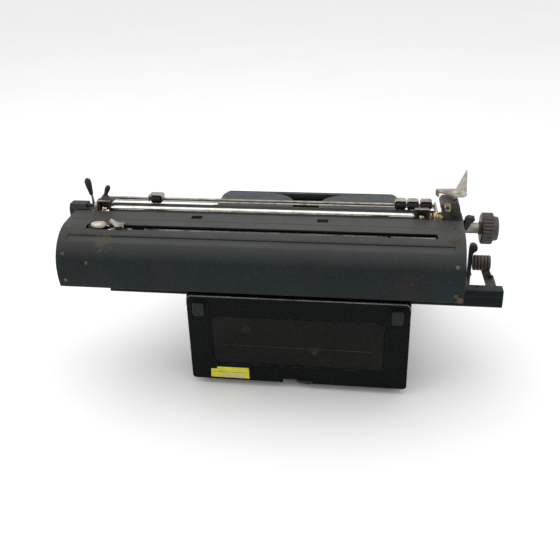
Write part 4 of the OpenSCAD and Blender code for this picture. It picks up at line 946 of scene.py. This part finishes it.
def ribbon_lid():
    span = Span("ribbon_cover")
    half, rear, front = span.x1, span.y1, span.y0
    top, low = span.z1, span.z0
    levels = [(low, 0.0), (top - 9, 0.0)] + [(top - 9 + 9 * math.sin(a), 9 * (1 - math.cos(a)))
        for a in [math.radians(d) for d in (15, 30, 45, 60, 75, 90)]]
    shell = Shape().skin([lid_ring(half, front, rear, z, inset, 13) for z, inset in levels])
    hollow = [(low - 1, 2.2), (top - 10, 2.2), (top - 6, 4.0), (top - 2.2, 9.5)]
    shell.cut(Shape().skin([lid_ring(half, front, rear + 5, z, inset, 13) for z, inset in hollow]))
    throat, neck, flare = 18.5, -136.0, 41.0
    right = arc((throat + flare, neck), flare, -90, -180, 14)
    fan = [(-throat, rear + 9), (throat, rear + 9)] + right[::-1] + [(-u, v) for u, v in right]
    shell.cut(Shape().prism(fan, "z", top - 16, top + 5))
    shell.piece("lid_shell", LID_PAINT, "lid", ["ribbon_cover"], smooth=40)
    edge = rounded(2 * flare + 2 * throat + 4, 3.4, 1, (0, neck - flare - 1.2))
    band = Shape().prism(edge, "z", top - 7, top - 2.4)
    band.piece("lid_front_band", RUBBER, "lid", bevel=0.4)
    lugs = Shape()
    for s in (-1, 1):
        lugs.spin([(-8, 1.4), (-8, 2.3), (-7.5, 2.5), (7.5, 2.5), (8, 2.3), (8, 1.4)],
            (s * (half - 20), rear - 3, top - 4.7), ALONG_X, n=24)
    lugs.piece("lid_lugs", STEEL, "lid")


def front_hood():
    """The sloping hood between the keys and the lid, its top corners rounded to meet the lid's."""
    span, lid = Span("front_hood"), Span("ribbon_cover")
    half, back, low, top = span.x1, span.y1, span.z0, lid.z1
    outer = [(back, top), (back - 4, top - 1), (span.y0, low + 7), (span.y0, low), (back, top - 21)]
    inner = [(back + 1, top - 1.4), (back - 3, top - 5), (span.y0 + 3, low + 7), (span.y0 + 3, low - 5),
        (back + 1, top - 35)]
    hood = Shape().prism(outer, "x", -half, half)
    hood.cut(Shape().prism(inner, "x", -half + 2.5, half - 2.5))
    r = 16
    for s in (-1, 1):
        corner = [(s * (half + 1), top - r), (s * (half + 1), top + 1), (s * (half - r), top + 1)]
        corner += [(s * u, v) for u, v in arc((half - r, top - r), r, 90, 0, 14)]
        hood.cut(Shape().prism(corner, "y", span.y0 - 2, back + 2))
    hood.piece("hood_shell", BODY_PAINT, BODY, ["front_hood"], bevel=0.5)


KEY_D = 14.6         # depth of a key top, and its width in the rows
TOP_H = 5.0          # height of a key top
SHIFT_W = 21.6
LEVER_T = 1.2


def key_cap(shape, x, y, z, w, d):
    """A key top with a rolled rim and a dished face."""
    rings = []
    for inset, up in ((1.4, 0), (0.6, 0.3), (0.05, 1.8), (0, 3.0), (0.35, 4.2), (1.0, 4.9), (1.7, 4.9)):
        top = rounded(w - 2 * inset, d - 2 * inset, 3.6 - 0.6 * inset, (x, y))
        rings.append([(u, v, z + up) for u, v in top])
    for share, up in ((0.6, 4.2), (0.3, 3.8), (0.02, 3.6)):
        rings.append([(x + (u - x) * share * 0.8, y + (v - y) * share * 0.8, z + up)
            for u, v in rounded(w - 3.4, d - 3.4, 2.6, (x, y))])
    shape.skin(rings)


def key_lever(shape, x, y, z, shaft):
    """A flat lever from the shared shaft, turned up under its key top."""
    side = fillet([(shaft.y + 5, shaft.z - 4, 1), (shaft.y + 5, shaft.z + 4, 1), (y + 3, shaft.z + 3, 2),
        (y + 3, z + 1), (y - 3, z + 1), (y - 3, shaft.z - 4, 2)], 3)
    shape.prism(side, "x", x - LEVER_T / 2, x + LEVER_T / 2)


def keys(node, body, name, places, w, plural=""):
    """Tops of width w and their levers, with the x of each top and of its lever given in places."""
    span, shaft = Span(node), Span("key_lever_shaft")
    caps, levers = Shape(), Shape()
    y, z = span.y0 + KEY_D / 2, span.z1 - TOP_H
    for x, lever_x in places:
        key_cap(caps, x, y, z, w, KEY_D)
        key_lever(levers, lever_x, y, z, shaft)
    caps.piece(f"{name}_cap{plural}", KEY_PLASTIC, body, [node], smooth=45)
    levers.piece(f"{name}_lever{plural}", STEEL, body)


def key_row(number):
    """A row of eleven keys; the second row leaves room for the separate middle key."""
    node = f"key_row_{number}"
    span, middle = Span(node), Span("middle_key")
    reach = span.x1 - span.x0 - KEY_D
    places = [span.x0 + KEY_D / 2 + reach * i / 10 for i in range(11)]
    if number == 2:
        places = [x for x in places if abs(x - middle.x) >= 5]
    keys(node, f"row_{number}", node, [(x, x) for x in places], KEY_D, "s")


def space_bar():
    span, shaft = Span("space_bar"), Span("key_lever_shaft")
    half = 6.3
    y = span.y0 + half
    ends = ((0, 0.55), (0.8, 0.85), (2.5, 1))
    sections = [(span.x0 + d, k) for d, k in ends] + [(span.x1 - d, k) for d, k in ends[::-1]]
    bar = Shape().skin([[(x, y + half * u * k, span.z1 - TOP_H + 4.6 * v * k)
        for u, v in arc((0, 0), 1, 0, 345, 23)] for x, k in sections])
    bar.piece("space_bar_grip", KEY_PLASTIC, "space_bar", ["space_bar"], smooth=45)
    levers = Shape()
    for s in (-1, 1):
        key_lever(levers, s * 57.15, y, span.z1 - 7, shaft)
    levers.piece("space_bar_levers", STEEL, "space_bar")


def keyboard():
    for number in (1, 2, 3, 4):
        key_row(number)
    for node, body, aside in (("middle_key", "middle_key", 0), ("shift_lock_key", "shift_lock", 0),
            ("backspace_key", "backspace", 1), ("tab_key", "tab", -3)):
        span = Span(node)
        keys(node, body, node, [(span.x, span.x + aside)], span.x1 - span.x0)
    reach = Span("shift_keys").x1 - SHIFT_W / 2
    keys("shift_keys", "shift", "shift", [(s * reach, s * (reach - 3)) for s in (-1, 1)], SHIFT_W, "s")
    space_bar()


# -------- stage
def camera():
    yaw, pitch, roll = -0.149, 0.465, -0.027
    away = Vector((math.sin(yaw) * math.cos(pitch), math.cos(yaw) * math.cos(pitch), math.sin(pitch)))
    right = Vector((0, 0, 1)).cross(away).normalized()
    up = away.cross(right)
    across = math.cos(roll) * right + math.sin(roll) * up
    above = math.cos(roll) * up - math.sin(roll) * right
    data = bpy.data.cameras.new("camera")
    data.sensor_width = 36.0
    data.lens = 45.56
    data.clip_end = 60.0
    obj = bpy.data.objects.new("camera", data)
    obj.matrix_world = Matrix.Translation(DATUM + Vector((-101.7, 816.4, 587.0)) * MM) @ Matrix(
        (across, above, away)).transposed().to_4x4()
    bpy.context.scene.collection.objects.link(obj)
    bpy.context.scene.camera = obj


def area_light(name, place, target, size, power):
    data = bpy.data.lights.new(name, "AREA")
    data.shape = "RECTANGLE"
    data.size, data.size_y = size
    data.energy = power
    obj = bpy.data.objects.new(name, data)
    obj.location = place
    obj.rotation_euler = (Vector(place) - Vector(target)).to_track_quat("Z", "Y").to_euler()
    bpy.context.scene.collection.objects.link(obj)


def stage():
    floor = Look("pale_floor", "")
    floor.colour(floor.mix(floor.noise(400, 3.0), (0.86, 0.86, 0.86), (0.9, 0.9, 0.9)))
    floor.rough(0.7, 0.85, size=300)
    mesh = bpy.data.meshes.new("floor")
    reach = 30
    corners = [(-reach, -reach, 0), (reach, -reach, 0), (reach, reach, 0), (-reach, reach, 0)]
    mesh.from_pydata(corners, [], [(0, 1, 2, 3)])
    mesh.materials.append(floor.material)
    obj = bpy.data.objects.new("floor", mesh)
    bpy.context.scene.collection.objects.link(obj)
    world = bpy.data.worlds.new("studio")
    world.use_nodes = True
    sky = world.node_tree.nodes["Background"].inputs
    sky["Color"].default_value = (1, 1, 1, 1)
    sky["Strength"].default_value = 0.95
    bpy.context.scene.world = world
    area_light("overhead", (0.1, 0.35, 2.2), (0, 0, 0.15), (3.2, 2.4), 26)
    area_light("side_fill", (1.8, 1.6, 1.3), (0, 0, 0.2), (1.2, 1.2), 6)
    bpy.context.scene.view_settings.view_transform = "Standard"


dress_frame()
rear_panel()
label()
feet()
bed()
bed_left_end()
rear_cover()
cover_screws()
knob()
line_space()
left_end_trim()
return_lever()
bail()
rest_rod()
paper_release()
margin_stops()
ribbon_lid()
front_hood()
keyboard()
camera()
stage()
